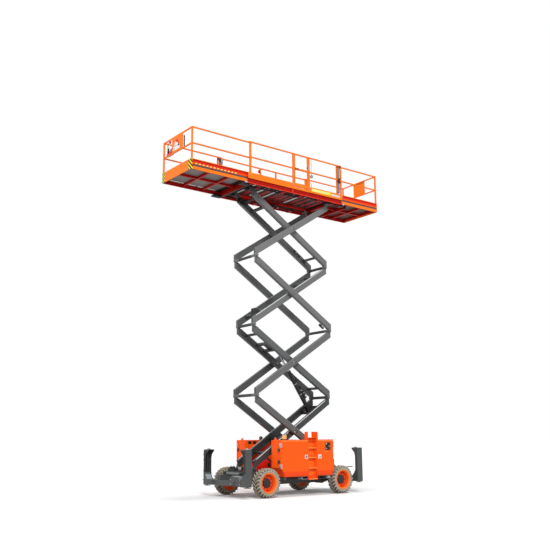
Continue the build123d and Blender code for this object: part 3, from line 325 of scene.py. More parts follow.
# ---- places
front_low, front_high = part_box("front_outriggers")
rear_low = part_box("rear_outriggers")[0]
ext_low, ext_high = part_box("front_extension")
rext_low, rext_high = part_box("rear_extension")
rails_low, rails_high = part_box("right_rails")
frails_low, frails_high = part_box("front_extension_rails")
gate_low, gate_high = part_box("entry_gate")
main_x = (rails_low.x, rails_high.x)
main_half = rails_high.y
post_y = main_half - 0.0225
deck_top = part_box("platform_frame")[1].z - 0.004
rail_top = rails_high.z
ext_half = ext_high.y
box_front, box_in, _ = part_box("right_box")[0]
box_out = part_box("right_front_door")[1].y - 0.023     # face of the cover boxes' outer side
box_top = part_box("right_rear_door")[1].z + 0.025
post_a, post_e = main_x[0] + 0.091, main_x[1] - 0.0225
post_b, post_c = gate_low.x - 0.0345, gate_high.x + 0.0345
rim_out = -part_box("left_front_rim")[0].y + 0.004

# ---- finishes
ORANGE = screen(255, 91, 10)
PLATFORM = screen(255, 126, 26)
SHADE_RED = screen(246, 58, 10)
DARK_RED = screen(166, 12, 6)
DARK = screen(46, 46, 46)
BLACK = screen(24, 24, 26)
SLEEVE = screen(168, 180, 196)
ALL_X = (-9, 9)
CHASSIS_X = (-3, 3)

pocket = (0.47, 1.2), (0.458, 0.566)
finish("frame_grey", screen(73, 75, 76), 0.5, dust=0.12, chips=0.2, zones=[
    zone((0.02, 0.52), *pocket, SLEEVE),
    zone((1.0, 1.46), *pocket, SLEEVE),
])
# painted shade inside the outrigger legs' channels
leg_inside_shade = (0.86, 1.094), (0.7, 1.33), 34, 35, 36
finish("leg_grey", screen(74, 77, 78), 0.5, dust=0.1, chips=0.15, zones=[
    zone(CHASSIS_X, (0, 1.2), (0.3, 0.318), 126, 104, 78),
    zone((front_low.x + 0.049, front_low.x + 0.246), *leg_inside_shade),
    zone((rear_low.x + 0.008, rear_low.x + 0.206), *leg_inside_shade),
])
wall_y = (0.664, 0.7)
hinge_x, hinge_y = (-0.85, -0.774), (box_out - 0.036, 1.2)
finish("body_orange", ORANGE, 0.38, gloss=0.18, spread=0.035, dust=0.07, dust_top=1.0, zones=[
    # painted shade: the boxes' lower skirt below z 0.716 a darker orange
    zone((-0.9, 1.4), (0.6, 1.2), (0.3, 0.716), 240, 72, 8),
    # painted shade: the wheel arches' inner faces a redder orange
    zone((-0.795, -0.4), (0.705, box_out - 0.0015), (0.5, 0.95), 255, 74, 8),
    # painted shade: the boxes' inner walls red below z 1.1, behind the arms; above that a plain orange
    zone((-0.79, 1.3), wall_y, (0.3, 1.1), SHADE_RED),
    zone((-0.79, 1.3), wall_y, (1.1, 1.62), 255, 90, 12),
    # painted light: the ladder's recess a lighter orange than the body
    zone((0.235, 0.587), (box_out - 0.13, box_out - 0.035), (0.5, 1.62), 255, 112, 30),
    zone(hinge_x, hinge_y, (1.407, 1.537), 178, 176, 172),
    zone(hinge_x, hinge_y, (0.8, 0.93), 178, 176, 172),
])
# rims: the barrel outside the disc painted lighter, a painted highlight
finish("rim_orange", screen(250, 76, 8), 0.34, spread=0.05, dust=0.08, dust_top=0.75,
       barrel_highlight=(0.181, 1.4355, TYRE_R, 0.235, screen(255, 118, 26)))
# dark red of the painted shadow line on the rims
finish("rim_shadow_red", screen(196, 34, 6), 0.4)
RUBBER = dict(gloss=0.15, patch=9.0, grain=85, bump=0.3, depth=0.002)
finish("rubber", screen(162, 154, 138), 0.86, spread=0.13, **RUBBER)
# darker rubber for the carcass between the lugs, painted shade in the grooves
finish("rubber_groove_shade", screen(96, 88, 76), 0.9, spread=0.2, **RUBBER)
# every arm has the same grey paint; these tones per arm are painted light and shade, darkest on the inner first
# arms
ARM_TONES = {"arm_mid": 101, "arm_grey": 110, "arm_shaded": 64, "arm_top": 112, "arm_pale": 118,
             "arm_cool": 94}
for name, tone in ARM_TONES.items():
    # darker tone for the arms' inner faces, painted shade
    inside = [tone * 0.74, tone * 0.75, tone * 0.75]
    blue = 2 if name in ("arm_cool", "arm_shaded") else 0
    zones = [
        # painted shade on the braces between the inner arms
        zone(ALL_X, (0, 0.344), (0, 12), tone * 0.56, tone * 0.57, tone * 0.58),
        zone(ALL_X, (0.345, 0.3545), (0, 12), *inside),
        zone(ALL_X, (0.487, 0.4965), (0, 12), *inside),
    ]
    # painted shadow of the platform over the top inner arms
    if name == "arm_top":
        zones.append(zone(ALL_X, (0, 0.4), (9.12, 12), 44, 46, 46))
    finish(name, screen(tone - blue, tone, tone + blue / 2), 0.42, spread=0.07, patch=1.1,
           zones=zones)
finish("jack_black", screen(40, 40, 42), 0.4, spread=0.1, zones=[
    zone(CHASSIS_X, (0.8, 1.2), (0.0, 0.33), 142, 118, 84),
])
finish("beacon_amber", screen(244, 192, 104), 0.18, gloss=0.6, spread=0.05, patch=18, coat=0.4,
       zones=[zone(CHASSIS_X, (0, 1.2), (1.6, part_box("beacon")[0].z + 0.027), BLACK)])

# heights of the extensions' beams, sheet, side channel and stripe
BEAM_TOP, SHEET_LOW, SHEET_TOP = 9.5405, 9.5695, 9.5875
STRIPE_LOW, STRIPE_TOP, LIP = 9.6045, 9.6605, 9.7495
lip_y = (ext_half - 0.016, ext_half - 0.01)
ext_zones = []
for inner, outer, s, sheet in ((ext_high.x, ext_low.x, -1, (122, 118, 114)),
                               (rext_low.x, rext_high.x, 1, (96, 64, 62))):
    x = sorted((inner - s * 0.002, outer - s * 0.013))
    sheet_y = (0, ext_half - 0.0145)
    ext_zones += [
        zone(x, (0, ext_half - 0.0015), (9.4, BEAM_TOP), DARK_RED),
        zone(x, (0, ext_half - 0.0215), (BEAM_TOP - 0.0001, SHEET_LOW), DARK_RED),
        zone(x, (ext_half - 0.04, ext_half - 0.0215), (BEAM_TOP - 0.0001, LIP - 0.0005), DARK_RED),
        zone(x, sheet_y, (SHEET_LOW, SHEET_TOP), *sheet),
        zone(x, (0, ext_half - 0.0225), (SHEET_TOP, 9.62), 120, 118, 112),
        # painted shade on the deck sheet's underside next to the main deck
        zone((inner - 0.24, inner + 0.01), sheet_y, (SHEET_LOW, SHEET_TOP), 36, 34, 36),
        zone(x, (ext_half - 0.0205, ext_half - 0.006), (BEAM_TOP, STRIPE_LOW), 88, 80, 78),
        # painted shade on the side channel's recessed web: red, darkest under the top lip
        zone(x, lip_y, (STRIPE_TOP, LIP), 226, 36, 8),
        zone(x, lip_y, (9.72, LIP), DARK_RED),
        zone(x, (ext_half - 0.023, ext_half + 0.001), (STRIPE_LOW, STRIPE_TOP), 246, 84, 18),
    ]
for x in (-3.77, -3.1, -2.42, 2.52, 3.2):
    ext_zones.append(zone((x - 0.035, x + 0.035), (ext_half - 0.0205, ext_half),
                          (BEAM_TOP, STRIPE_LOW), DARK_RED))
ORANGE_PAINT = dict(rough=0.42, gloss=0.18, spread=0.04)
finish("extension", PLATFORM, **ORANGE_PAINT, zones=ext_zones,
       hazard=((ext_low.x - 0.01, ext_half - 0.16, 9.3), (ext_low.x + 0.05, ext_half + 0.01, 9.9),
               screen(238, 226, 40), screen(30, 30, 32), 0.13))
finish("platform_orange", PLATFORM, **ORANGE_PAINT)

under = (deck_top - 0.031, deck_top - 0.01)     # heights of the main deck's underside
deck_y = (0, 0.8745)
low_z = (9.33, 9.5995)
finish("deck_red", screen(168, 11, 3), 0.48, gloss=0.15, spread=0.08, zones=[
    # painted highlight on the side fascia's bottom lip; its bottom and underside a darker red
    zone(CHASSIS_X, (0.905, 0.93), (9.39, 9.424), 232, 56, 26),
    zone(CHASSIS_X, (0.884, 0.93), (9.39, 9.402), 206, 30, 10),
    # painted shade on the deck's underside, darkest towards its ends
    zone(CHASSIS_X, deck_y, under, 64, 20, 17),
    zone((-3, -1.05), deck_y, under, 36, 30, 31),
    zone((1.3, 3), deck_y, under, 36, 30, 31),
    zone(CHASSIS_X, deck_y, (deck_top - 0.01, 9.7), 128, 126, 120),
    zone((-1.2, 3), (0.59, 0.68), (9.38, 9.5), DARK),
    # painted shade on the front member under the deck
    zone((main_x[0] + 0.085, -1.3), (0, 0.84), low_z, 38, 24, 23),
    zone((main_x[0] - 0.01, main_x[0] + 0.004), (0, 0.84), low_z, 196, 28, 12),
    zone((-1.45, -1.15), (0.34, 0.47), (9.345, 9.48), 84, 84, 84),
    zone((post_b, post_c), (-0.93, -0.86), (9.5546, 9.64), PLATFORM, both=False),
])
for name, colour, rough, settings in (
    # arm_edge and arm_edge_soft are painted highlights, arm_edge_low painted shade, for the arms' corner rods
    ("arm_edge", (232, 234, 236), 0.35, dict(gloss=0.6)),
    ("arm_edge_soft", (134, 138, 139), 0.38, dict(gloss=0.4)),
    ("arm_edge_low", (58, 60, 61), 0.45, {}),
    ("cylinder_black", (34, 34, 36), 0.3, dict(gloss=0.4, spread=0.1)),
    ("rod_chrome", (205, 206, 210), 0.16, dict(metal=1.0, spread=0.04, bump=0.03)),
    ("dark_paint", (46, 46, 46), 0.5, dict(spread=0.12)),
    ("black", (24, 24, 26), 0.5, dict(gloss=0.35, spread=0.12)),
    ("rubber_black", (30, 30, 31), 0.75, dict(spread=0.15, bump=0.3)),
    ("steel", (188, 189, 188), 0.32, dict(metal=0.85)),
    ("zinc", (196, 198, 198), 0.45, dict(metal=0.3)),
    ("pale", (214, 214, 208), 0.5, dict(spread=0.04)),
    ("white", (236, 236, 234), 0.4, dict(spread=0.03)),
    ("signal_red", (222, 26, 30), 0.35, dict(gloss=0.5, spread=0.05)),
    ("yellow", (238, 226, 60), 0.45, dict(spread=0.04)),
    ("lime", (226, 236, 138), 0.5, dict(spread=0.05)),
    ("blue_grey", (104, 122, 142), 0.4, {}),
    ("conduit", (150, 158, 166), 0.4, dict(spread=0.05)),
    ("trim_orange", (255, 91, 10), 0.38, dict(gloss=0.18, spread=0.035)),
    ("cover_red", (250, 34, 14), 0.4, dict(gloss=0.25, spread=0.05)),
    # trim_lit: the body orange painted lighter, a painted highlight on lit edges
    ("trim_lit", (255, 142, 62), 0.4, dict(spread=0.04)),
    ("trim_red", (246, 58, 10), 0.45, {}),
    ("rib_red", (166, 12, 6), 0.5, dict(spread=0.1)),
    ("tread_grey", (140, 138, 132), 0.42, dict(metal=0.3, spread=0.1, grain=30, chips=0.2)),
    ("hub_dark", (50, 47, 46), 0.5, dict(spread=0.12)),
    ("smoke", (60, 40, 42), 0.2, dict(gloss=0.6, spread=0.1, coat=0.4)),
):
    finish(name, screen(*colour), rough, **settings)

# the CAD nodes wear their slot's finish unless named here
NODE_FINISH = {
    "front_extension": "extension", "rear_extension": "extension",
    "front_outriggers": "leg_grey", "rear_outriggers": "leg_grey",
    "inner_arms_1": "arm_shaded", "outer_arms_1": "arm_cool", "inner_arms_2": "arm_cool",
    "outer_arms_2": "arm_mid", "inner_arms_4": "arm_top", "outer_arms_4": "arm_pale",
}
for part in frame["record"]["subparts"]:
    slot = part["material_slot"].replace("tyre", "rubber")
    materials = NODES[part["node"]].data.materials
    materials.clear()
    materials.append(FINISHES[NODE_FINISH.get(part["node"], slot)])

# ---- camera
camera_data = bpy.data.cameras.new("camera")
camera_data.lens = 50.0
camera_data.sensor_width = 36.0
camera_data.clip_end = 500.0
camera = bpy.data.objects.new("camera", camera_data)
camera_right = Vector((0.79194583, -0.61052931, -0.00870445))
camera_up = Vector((-0.11979636, -0.16934054, 0.97824977))
camera_back = Vector((-0.59872417, -0.77367807, -0.20724772))
camera_place = Matrix((camera_right, camera_up, camera_back)).transposed().to_4x4()
camera_place.translation = Vector((-14.921, -19.159, 1.719))
camera.matrix_world = camera_place
bpy.context.scene.collection.objects.link(camera)
bpy.context.scene.camera = camera

# ---- tyres and wheels
def polar(r, angle, out):
    """Point on a wheel, measured from the middle of its hub."""
    return (r * cos(angle), out, r * sin(angle))


def tyre(shape):
    """Carcass with shoulders, bead rings and chevron lugs."""
    sidewall = [  # (in from the tyre's side, radius), from the rim outwards
        (0.016, RIM_R), (0.002, RIM_R + 0.012), (0, 0.318), (0.004, 0.35), (0.016, 0.378),
        (0.04, 0.393), (0.09, 0.398)]
    section = [(-TYRE_HALF + y, r) for y, r in sidewall] + [(0, 0.399)]
    section += [(-y, r) for y, r in section[-2::-1]]
    x_way, z_way = Vector((1, 0, 0)), Vector(UP)
    rings = [shape.circle(shape.point((0, y, 0)), x_way, z_way, r, 96) for y, r in section]
    for j, (a, b) in enumerate(zip(rings, rings[1:])):
        for corners in zip(a, a[1:] + a[:1], b[1:] + b[:1], b):
            # the carcass between the lugs takes the darker rubber, painted shade in the grooves
            shape.bm.faces.new(corners).material_index = int(3 <= j <= 10)
    for s in (-1, 1):
        bead = [(0, 0.312), (0.0015, 0.308), (0.0015, 0.3), (0, 0.296)]
        shape.turned((0, s * (TYRE_HALF - 0.002), 0), (0, s, 0), bead, 0, 72, True)
    path = [  # (across from the tyre's middle, outer radius, inner radius, half width)
        (TYRE_HALF - 0.001, 0.334, 0.322, 0.01), (TYRE_HALF - 0.0005, 0.362, 0.345, 0.014),
        (TYRE_HALF - 0.006, 0.393, 0.365, 0.016), (TYRE_HALF - 0.02, 0.413, 0.375, 0.0165),
        (TYRE_HALF - 0.045, TYRE_R, 0.385, 0.017), (0.055, TYRE_R, 0.39, 0.016),
        (0.015, TYRE_R, 0.392, 0.015), (-0.012, TYRE_R - 0.001, 0.392, 0.013),
    ]
    pitch = 2 * pi / LUGS
    for s in (-1, 1):
        for i in range(LUGS):
            start = i * pitch + (pitch / 2 if s > 0 else 0)
            stations = []
            for across, r_out, r_in, w in path:
                lean = pitch * 0.95 * max(0.0, 1 - max(0.0, across) / TYRE_HALF) ** 1.15
                stations.append([
                    shape.bm.verts.new(shape.point(polar(r, start + lean + k * w / r, s * across)))
                    for r, k in ((r_out, -1), (r_out, 1), (r_in, 1.35), (r_in, -1.35))
                ])
            shape.skin(stations, 0)


for end in ("front", "rear"):
    for side_name, side in SIDES.items():
        body = f"{side_name}_{end}_wheel"
        low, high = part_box(f"{side_name}_{end}_tyre")
        middle = (low + high) / 2
        place = dict(at=(middle.x, rim_out - RIM_DISH, middle.z), side=side)
        tyre(Shape(body + "_tread", body, "tyre", "rubber", "rubber_groove_shade", at=middle,
                   replaces=[f"{side_name}_{end}_tyre"]))
        hub = Shape(body + "_hub", body, "frame_grey", "hub_dark", **place)
        hub.turned((0, 0.01, 0), OUT, [
            (0, HUB_R + 0.022), (0.006, HUB_R + 0.022), (0.008, HUB_R + 0.015),
            (0.034, HUB_R + 0.013), (0.042, HUB_R + 0.004), (0.044, 0.066), (0.052, 0.062),
            (0.056, 0.054), (0.056, 0)], 0, 48)
        for k in range(9):
            a = 2 * pi * k / 9
            hub.bolt(polar(0.1625, a, 0.01), (0, 0.024, 0), 0.0105)
            hub.rod(polar(0.1625, a, 0.03), polar(0.1625, a, 0.042), 0.0065, 0, 10)
        for k in range(8):
            hub.bolt(polar(0.092, 2 * pi * (k + 0.5) / 8, 0.043), (0, 0.007, 0), 0.007)
        bead = Shape(body + "_bead", body, "rim_orange", "rim_orange", "steel", "rim_shadow_red", **place)
        bead.turned((0, RIM_DISH - 0.012, 0), OUT, [
            (0, RIM_R - 0.03), (0.004, RIM_R - 0.03), (0.01, RIM_R - 0.0235),
            (0.01, RIM_R - 0.0005), (0, RIM_R - 0.0005)], 0, 64, True)
        # dark red ring where the disc meets the barrel, a painted shadow line
        ring = [(0, 0.196), (0.004, 0.2), (0.004, 0.222), (0, 0.226)]
        bead.turned((0, 0.02, 0), OUT, ring, 2, 64, True)
        valve = ((0.225, 0.012), (0.232, 0.045), (0.238, 0.07))
        bead.tube([polar(r, 1.1, out) for r, out in valve], 0.006, 1)

# ---- cover boxes
SKIN = (-0.001, 0.003)        # thin sheet on a box's outer face, across
depth = box_in - box_out
x0, x1 = box_front, 1.251     # ends of the folded roof edges and bolt rows
for side_name, side in SIDES.items():
    on_face = dict(at=(0, box_out, 0), side=side)
    trim = Shape(side_name + "_box_trim", "chassis", "body_orange", "trim_orange", "trim_red",
                 "trim_lit", at=(0, box_out, box_top), side=side)
    # folded roof edge, a red top strip over a lip painted a lighter orange as a painted highlight, and stiffening
    # folds on the front wall
    for x in ((x0 + 0.02, 0.226), (0.622, x1)) if side < 0 else ((x0 + 0.02, x1),):
        trim.span(x, (-0.002, 0.011), (-0.012, 0.002), 1)
        trim.span(x, (-0.002, 0.007), (-0.044, -0.014), 2)
    trim.span((x0 - 0.004, x0 + 0.03), (-0.006, 0.004), (1.0 - box_top, 0))
    for y in (depth + 0.02, -0.03):
        trim.span((x0 - 0.004, x0 + 0.002), (y, y + 0.01), (0.95 - box_top, -0.02))

    bolts = Shape(side_name + "_box_bolts", "chassis", "body_orange", "trim_red", "black",
                  "steel", **on_face)
    for z in (1.02, 1.26, 1.48, 1.58):
        for y in (depth + 0.06, -0.075):
            bolts.bolt((x0, y, z), (-0.009, 0, 0), 0.01)
    for x in (x0 + 0.1, 0.1, 0.72, 1.1):
        for y in (depth + 0.05, -0.05):
            bolts.bolt((x, y, box_top), (0, 0, 0.008), 0.01)
    for z in (1.417, 0.81):
        bolts.span((x0 - 0.006, x0 + 0.001), (-0.056, 0.01), (z, z + 0.118), 2, 0.001)
    # rubber catches that hold the front door's edge
    for low, high in ((1.292, 1.377), (0.96, 1.046)):
        z = (low + high) / 2
        bolts.span((x0 - 0.026, x0), (-0.115, -0.048), (low, high), 1, 0.006)
        bolts.rod((x0 - 0.03, -0.082, z), (x0, -0.082, z), 0.01, 2)

    rear_x = (0.634, 0.758) if side < 0 else (0.66, 0.78)
    for door, x in (("front", (0.108, 0.222)), ("rear", rear_x)):
        body = f"{side_name}_{door}_door"
        in_front = door == "front"
        latch = Shape(body + "_latch", body, "rod_chrome", "pale", "black", "steel", **on_face)
        mid = (x[0] + x[1]) / 2
        latch.span(x, (-0.001, 0.006), (1.066, 1.186), 0, 0.004)
        latch.span((mid - 0.03, mid + 0.03), (0.004, 0.0085), (1.094, 1.16), int(in_front))
        latch.span((mid - 0.012, mid + 0.012), (0.007, 0.018), (1.1, 1.14), 1 + in_front)
        for bolt_x in (x[0] + 0.01, x[1] - 0.01):
            for bolt_z in (1.076, 1.176):
                latch.bolt((bolt_x, 0.005, bolt_z), (0, 0.005, 0), 0.004, 2)

        # pressed border along the door's top and bottom
        low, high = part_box(body)
        a, b = low.x + 0.014, high.x - 0.014
        skin = Shape(body + "_skin", body, "body_orange", "trim_orange", **on_face)
        skin.span((a, b), SKIN, (high.z - 0.028, high.z - 0.02), 0, 0.001)
        skin.span((a + 0.3, b) if in_front else (a, b - 0.1), SKIN, (0.7, 0.706), 0, 0.001)

# gauge window on the left rear door, and the ladder's grips
on_face = dict(at=(0, box_out, 0), side=-1)
vent = Shape("left_panel_window", "left_rear_door", "frame_grey", "black", "trim_orange", "pale",
             "signal_red", "lime", "dark_paint", "trim_lit", **on_face)
wx, wz = (0.924, 1.126), (1.309, 1.541)
rim_x, rim_z = (wx[0] - 0.016, wx[1] + 0.016), (wz[0] - 0.016, wz[1] + 0.016)
vent.span(wx, SKIN, wz, 0, 0.004)
for x, z in (((rim_x[0], wx[0]), rim_z), ((wx[1], rim_x[1]), rim_z),
             (wx, (rim_z[0], wz[0])), (wx, (wz[1], rim_z[1]))):
    vent.span(x, (-0.001, 0.009), z, 1, 0.002)
dial = [(0, 0.016), (0.004, 0.015), (0.007, 0.008), (0.007, 0)]
for i in range(3):
    for k in range(3):
        at = (wx[0] + 0.045 + i * 0.056, 0.002, wz[0] + 0.05 + k * 0.068)
        vent.turned(at, OUT, dial, 5 if (i + 2 * k) % 4 else 2, 20)
vent.rod((wx[0] + 0.157, 0.002, wz[0] + 0.04), (wx[0] + 0.157, 0.022, wz[0] + 0.04), 0.012, 3)
vent.span((wx[0] + 0.02, wx[0] + 0.06), (0.002, 0.012), (wz[1] - 0.04, wz[1] - 0.02), 4, 0.002)
# strip under the window in the lighter orange, a painted highlight
vent.span((wx[0] - 0.03, wx[1] + 0.03), (-0.001, 0.014), (wz[0] - 0.058, wz[0] - 0.04), 6)
treads = Shape("ladder_grips", "chassis", "body_orange", "trim_lit", "trim_red", **on_face)
# ladder treads' grips and nosings in the lighter orange, a painted highlight on their lit edges
for z, out in ((0.486, 0.028), (0.803, 0), (1.106, 0), (1.391, 0)):
    for i in range(16):
        x = 0.256 + i * 0.0205
        treads.span((x, x + 0.01), (out - 0.06, out + 0.001), (z - 0.002, z + 0.0045), 0, 0.001)
    treads.span((0.252, 0.57), (out - 0.004, out + 0.003), (z - 0.022, z + 0.001), 0, 0.001)
for x in (0.262, 0.556):
    for z in (0.6, 0.95, 1.25, 1.54):
        treads.bolt((x, -0.118, z), (0, 0.008, 0), 0.009, 1)

louvres = Shape("right_box_louvres", "right_rear_door", "body_orange", "trim_orange", "black",
                at=(0, box_out, 0))
louvres.span((0.8, 1.16), (-0.001, 0.002), (1.0, 1.46), 1, 0.001)
for i in range(11):
    z = 1.03 + i * 0.038
    slat = ((0.81, 0.001, z + 0.022), (1.15, 0.001, z + 0.022), (1.15, 0.018, z), (0.81, 0.018, z))
    louvres.plate(slat, (0, 0, 0.003), 0, 0.0005)

# lamps and caps on the boxes
lamps = Shape("work_lamps", "chassis", "cylinder_black", "black", at=(0, box_in - 0.004, 0))
for x in (-0.635, -0.455):
    lamps.span((x - 0.06, x + 0.06), (-0.01, 0.006), (1.508, 1.598), 0, 0.008)
    lamps.span((x - 0.048, x + 0.048), (-0.014, -0.008), (1.518, 1.588), 0, 0.006)
dome = Shape("roof_dome", "chassis", "cylinder_black", "smoke", "black", at=(-0.105, 0.8, box_top))
shell = [(0.056 + 0.064 * sin(a * pi / 14), 0.066 * cos(a * pi / 14)) for a in range(7)]
dome.turned((0, 0, 0), UP, [(0, 0.05), (0.04, 0.05), (0.048, 0.06), *shell, (0.121, 0)], 0, 32)
dome.pole(0, 0, (0, 0.016), 0.056, 1, 32)
low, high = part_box("beacon")
beacon = Shape("beacon_cage", "chassis", "cylinder_black", "black", "beacon_amber",
               at=((low.x + high.x) / 2, (low.y + high.y) / 2, low.z))
beacon.turned((0, 0, 0), UP, [(0, 0.064), (0.01, 0.064), (0.022, 0.06), (0.026, 0.04)], 0, 32)
r = (high.x - low.x) / 2
ring = [(0, r - 0.001), (0.002, r + 0.0025), (0.006, r + 0.0025), (0.008, r - 0.001)]
for z in (0.045, 0.067, 0.089):
    beacon.turned((0, 0, z), UP, ring, 1, 40, True)

# pump covers on the right box's inner wall: red hood and tray, black motor and hose guard
cover = Shape("pump_covers", "chassis", "body_orange", "trim_red", "cover_red", "black",
              "dark_paint", at=(0, box_in + 0.001, 0))
for y, thick, mat, edge, outline in (
    (-0.045, 0.047, 0, 0.01, ((-0.36, 1.16), (-0.3, 1.3), (-0.2, 1.41), (-0.08, 1.452),
                               (0.04, 1.41), (0.12, 1.3), (0.16, 1.16))),
    (-0.044, 0.045, 1, 0.012, ((-0.55, 0.66), (-0.44, 0.86), (-0.28, 1.03), (-0.04, 1.06),
                               (0.2, 0.94), (0.3, 0.8), (0.3, 0.66))),
    (-0.03, 0.031, 3, 0.008, ((-0.335, 1.1), (-0.215, 1.1), (-0.175, 1.27), (-0.285, 1.45),
                               (-0.365, 1.44), (-0.3, 1.27))),
    (-0.046, 0.046, 3, 0.008, ((-0.06, 1.14), (0.14, 1.02), (0.2, 0.93), (0.14, 0.92),
                               (-0.02, 1.05))),
):
    cover.plate([(x, y, z) for x, z in outline], (0, thick, 0), mat, edge)
cover.block((0.03, -0.047, 0.785), (0.14, 0, 0.925), 2, 0.012)

# ---- hydraulics at the front
NOSE_X = -1.737               # the nose beam's front
front = Shape("front_manifold", "chassis", "frame_grey", "dark_paint", "black", "zinc",
              "arm_edge_soft")
front.blocks(
    ((-1.7, -0.02, 0.735), (-1.6, 0.3, 0.812), 0, 0.005),
    ((-1.685, 0.03, 0.81), (-1.615, 0.11, 0.872), 1, 0.006),
    ((-1.69, 0.17, 0.81), (-1.61, 0.25, 0.862), 1, 0.006),
    ((-1.7, -0.33, 0.735), (-1.61, -0.11, 0.772), 1, 0.005),
    # painted highlight along the nose beam's top, in the arms' edge-highlight grey
    ((NOSE_X - 0.003, -0.335, 0.662), (NOSE_X + 0.001, 0.335, 0.7), 3, 0.001),
)
fitting = [(0, 0.016), (0.02, 0.016), (0.024, 0.01), (0.04, 0.01), (0.042, 0.006)]
for y in (0.05, 0.09, 0.19, 0.23):
    front.turned((-1.65, y, 0.862), UP, fitting, 2, 16)
valve = [(0, 0.026), (0.03, 0.026), (0.034, 0.016), (0.075, 0.016), (0.08, 0.024),
         (0.11, 0.024), (0.116, 0.014), (0.132, 0.012), (0.134, 0)]
for y in (-0.215, -0.285):
    front.turned((-1.655, y, 0.735), UP, valve, 2, 20)
for y, z in ((0.06, 0.775), (0.14, 0.795), (0.22, 0.775)):
    front.tube([(-1.6, y, z), (-1.52, y, z + 0.02), (-1.44, y * 0.7, 0.72),
                (-1.2, y * 0.7, 0.665), (-0.6, y * 0.7, 0.662)], 0.011, 1)
for y in (-0.155, -0.29):
    front.tube([(-1.655, y, 0.9), (-1.655, y - 0.01, 0.955), (-1.6, y - 0.02, 0.97),
                (-1.53, y - 0.03, 0.9), (-1.47, y * 0.8, 0.7), (-1.1, y * 0.8, 0.665)], 0.01, 1)
for front.side in (-1, 1):    # rubber stops on the nose beam
    front.span((NOSE_X - 0.014, NOSE_X + 0.002), (0.345, 0.498), (0.636, 0.702), 1, 0.006)

# bracket on the front crossbeam's left half, and gussets in the outriggers' feet
lug = Shape("front_step_bracket", "chassis", "frame_grey", "leg_grey", "pale", "steel")
outline = [(-0.86, 0.345), (-0.86, 0.606), (-0.45, 0.606), (-0.38, 0.59), (-0.32, 0.555),
           (-0.28, 0.505), (-0.262, 0.44), (-0.262, 0.345)]
lug.plate([(-2.058, y, z) for y, z in outline], (0.014, 0, 0), 0, 0.003)
lug.block((-2.056, -0.84, 0.594), (-1.87, -0.4, 0.608), 0, 0.004)
for i in range(9):
    y = -0.8 + i * 0.043
    lug.span((-2.04, -1.89), (y, y + 0.02), (0.606, 0.612), 1, 0.002)
for y, z in ((-0.8, 0.4), (-0.36, 0.4), (-0.36, 0.52), (-0.8, 0.56)):
    lug.bolt((-2.058, y, z), (-0.014, 0, 0), 0.013, 2)

feet = Shape("outrigger_fittings", "chassis", "frame_grey", "leg_grey", "conduit", "steel")
leg_top = front_high.z
head = [(0, 0.048), (0.01, 0.048), (0.012, 0.034), (0.026, 0.034), (0.034, 0.024),
        (0.04, 0.01), (0.04, 0)]
clamp = [(0, 0.047), (0, 0.052), (0.03, 0.052), (0.03, 0.047)]
for x0, knob in ((front_low.x + 0.04, 0.17), (rear_low.x, 0.045)):
    x1, knob = x0 + 0.215, x0 + knob
    a, b = x0 + 0.012, x1 - 0.012
    for feet.side in (-1, 1):
        # sloping sheets at the foot
        for y_high, z_high, y_low, z_low, mat in (
            (0.945, 0.64, 0.835, 0.5, 1), (0.99, 0.7, 0.944, 0.64, 0),
        ):
            sheet = ((a, y_high, z_high), (b, y_high, z_high), (b, y_low, z_low), (a, y_low, z_low))
            feet.plate(sheet, (0, 0, -0.006), mat, 0.001)
        # jack's head on the cap
        feet.turned((knob, 1.02, leg_top), UP, head, 2, 28)
        lug_z = (leg_top - 0.002, leg_top + 0.026)
        feet.span((knob - 0.024, knob + 0.024), (0.93, 0.965), lug_z, 1, 0.006)
        # bolts along the leg's outer face
        for z in (0.47, 1.22):
            for x in (x0 + 0.035, x1 - 0.035):
                feet.bolt((x, 1.1, z), (0, 0.008, 0), 0.011)
        # jack's tube clamps
        for z in (0.72, 1.05):
            feet.turned(((x0 + x1) / 2, 1.045, z), UP, clamp, 0, 28, True)
            feet.span((x0 + 0.008, x1 - 0.008), (1.03, 1.06), (z + 0.005, z + 0.025), 0, 0.002)

# ---- scissor arms
rise = PIVOT["front_pin_1"].z - PIVOT["scissor_lift"].z
reach = 2 * (PIVOT["centre_pin_1"].x - PIVOT["scissor_lift"].x)
half_pin = hypot(rise, reach) / 2
offset_angle = asin(PIN_OFFSET / half_pin)
beam_angle = atan2(rise, reach) - offset_angle
pin_along = half_pin * cos(offset_angle)
# bands where pipes run along the inner arms' inner faces, clear of the braces
PIPE_BANDS = {1: (0.03, 0.052, 0.074), 2: (-0.04, -0.06, -0.08), 3: (-0.07, -0.086),
              4: (-0.058, -0.076)}
# weld collar where a cross tube meets an arm
weld = [(0, 0.045), (0, 0.056), (0.004, 0.054), (0.012, 0.0455), (0.012, 0.045)]


def on_arm(stage, way, along, across, y=0.0):
    """Point from an arm's own axes: along its beam, across it, and Y. Way is 1 for an arm
    that rises to the rear and -1 for one that rises to the front."""
    centre = PIVOT[f"centre_pin_{stage}"]
    dx = along * cos(beam_angle) - across * sin(beam_angle)
    dz = along * sin(beam_angle) + across * cos(beam_angle)
    return Vector((centre.x + way * dx, y, centre.z + dz))


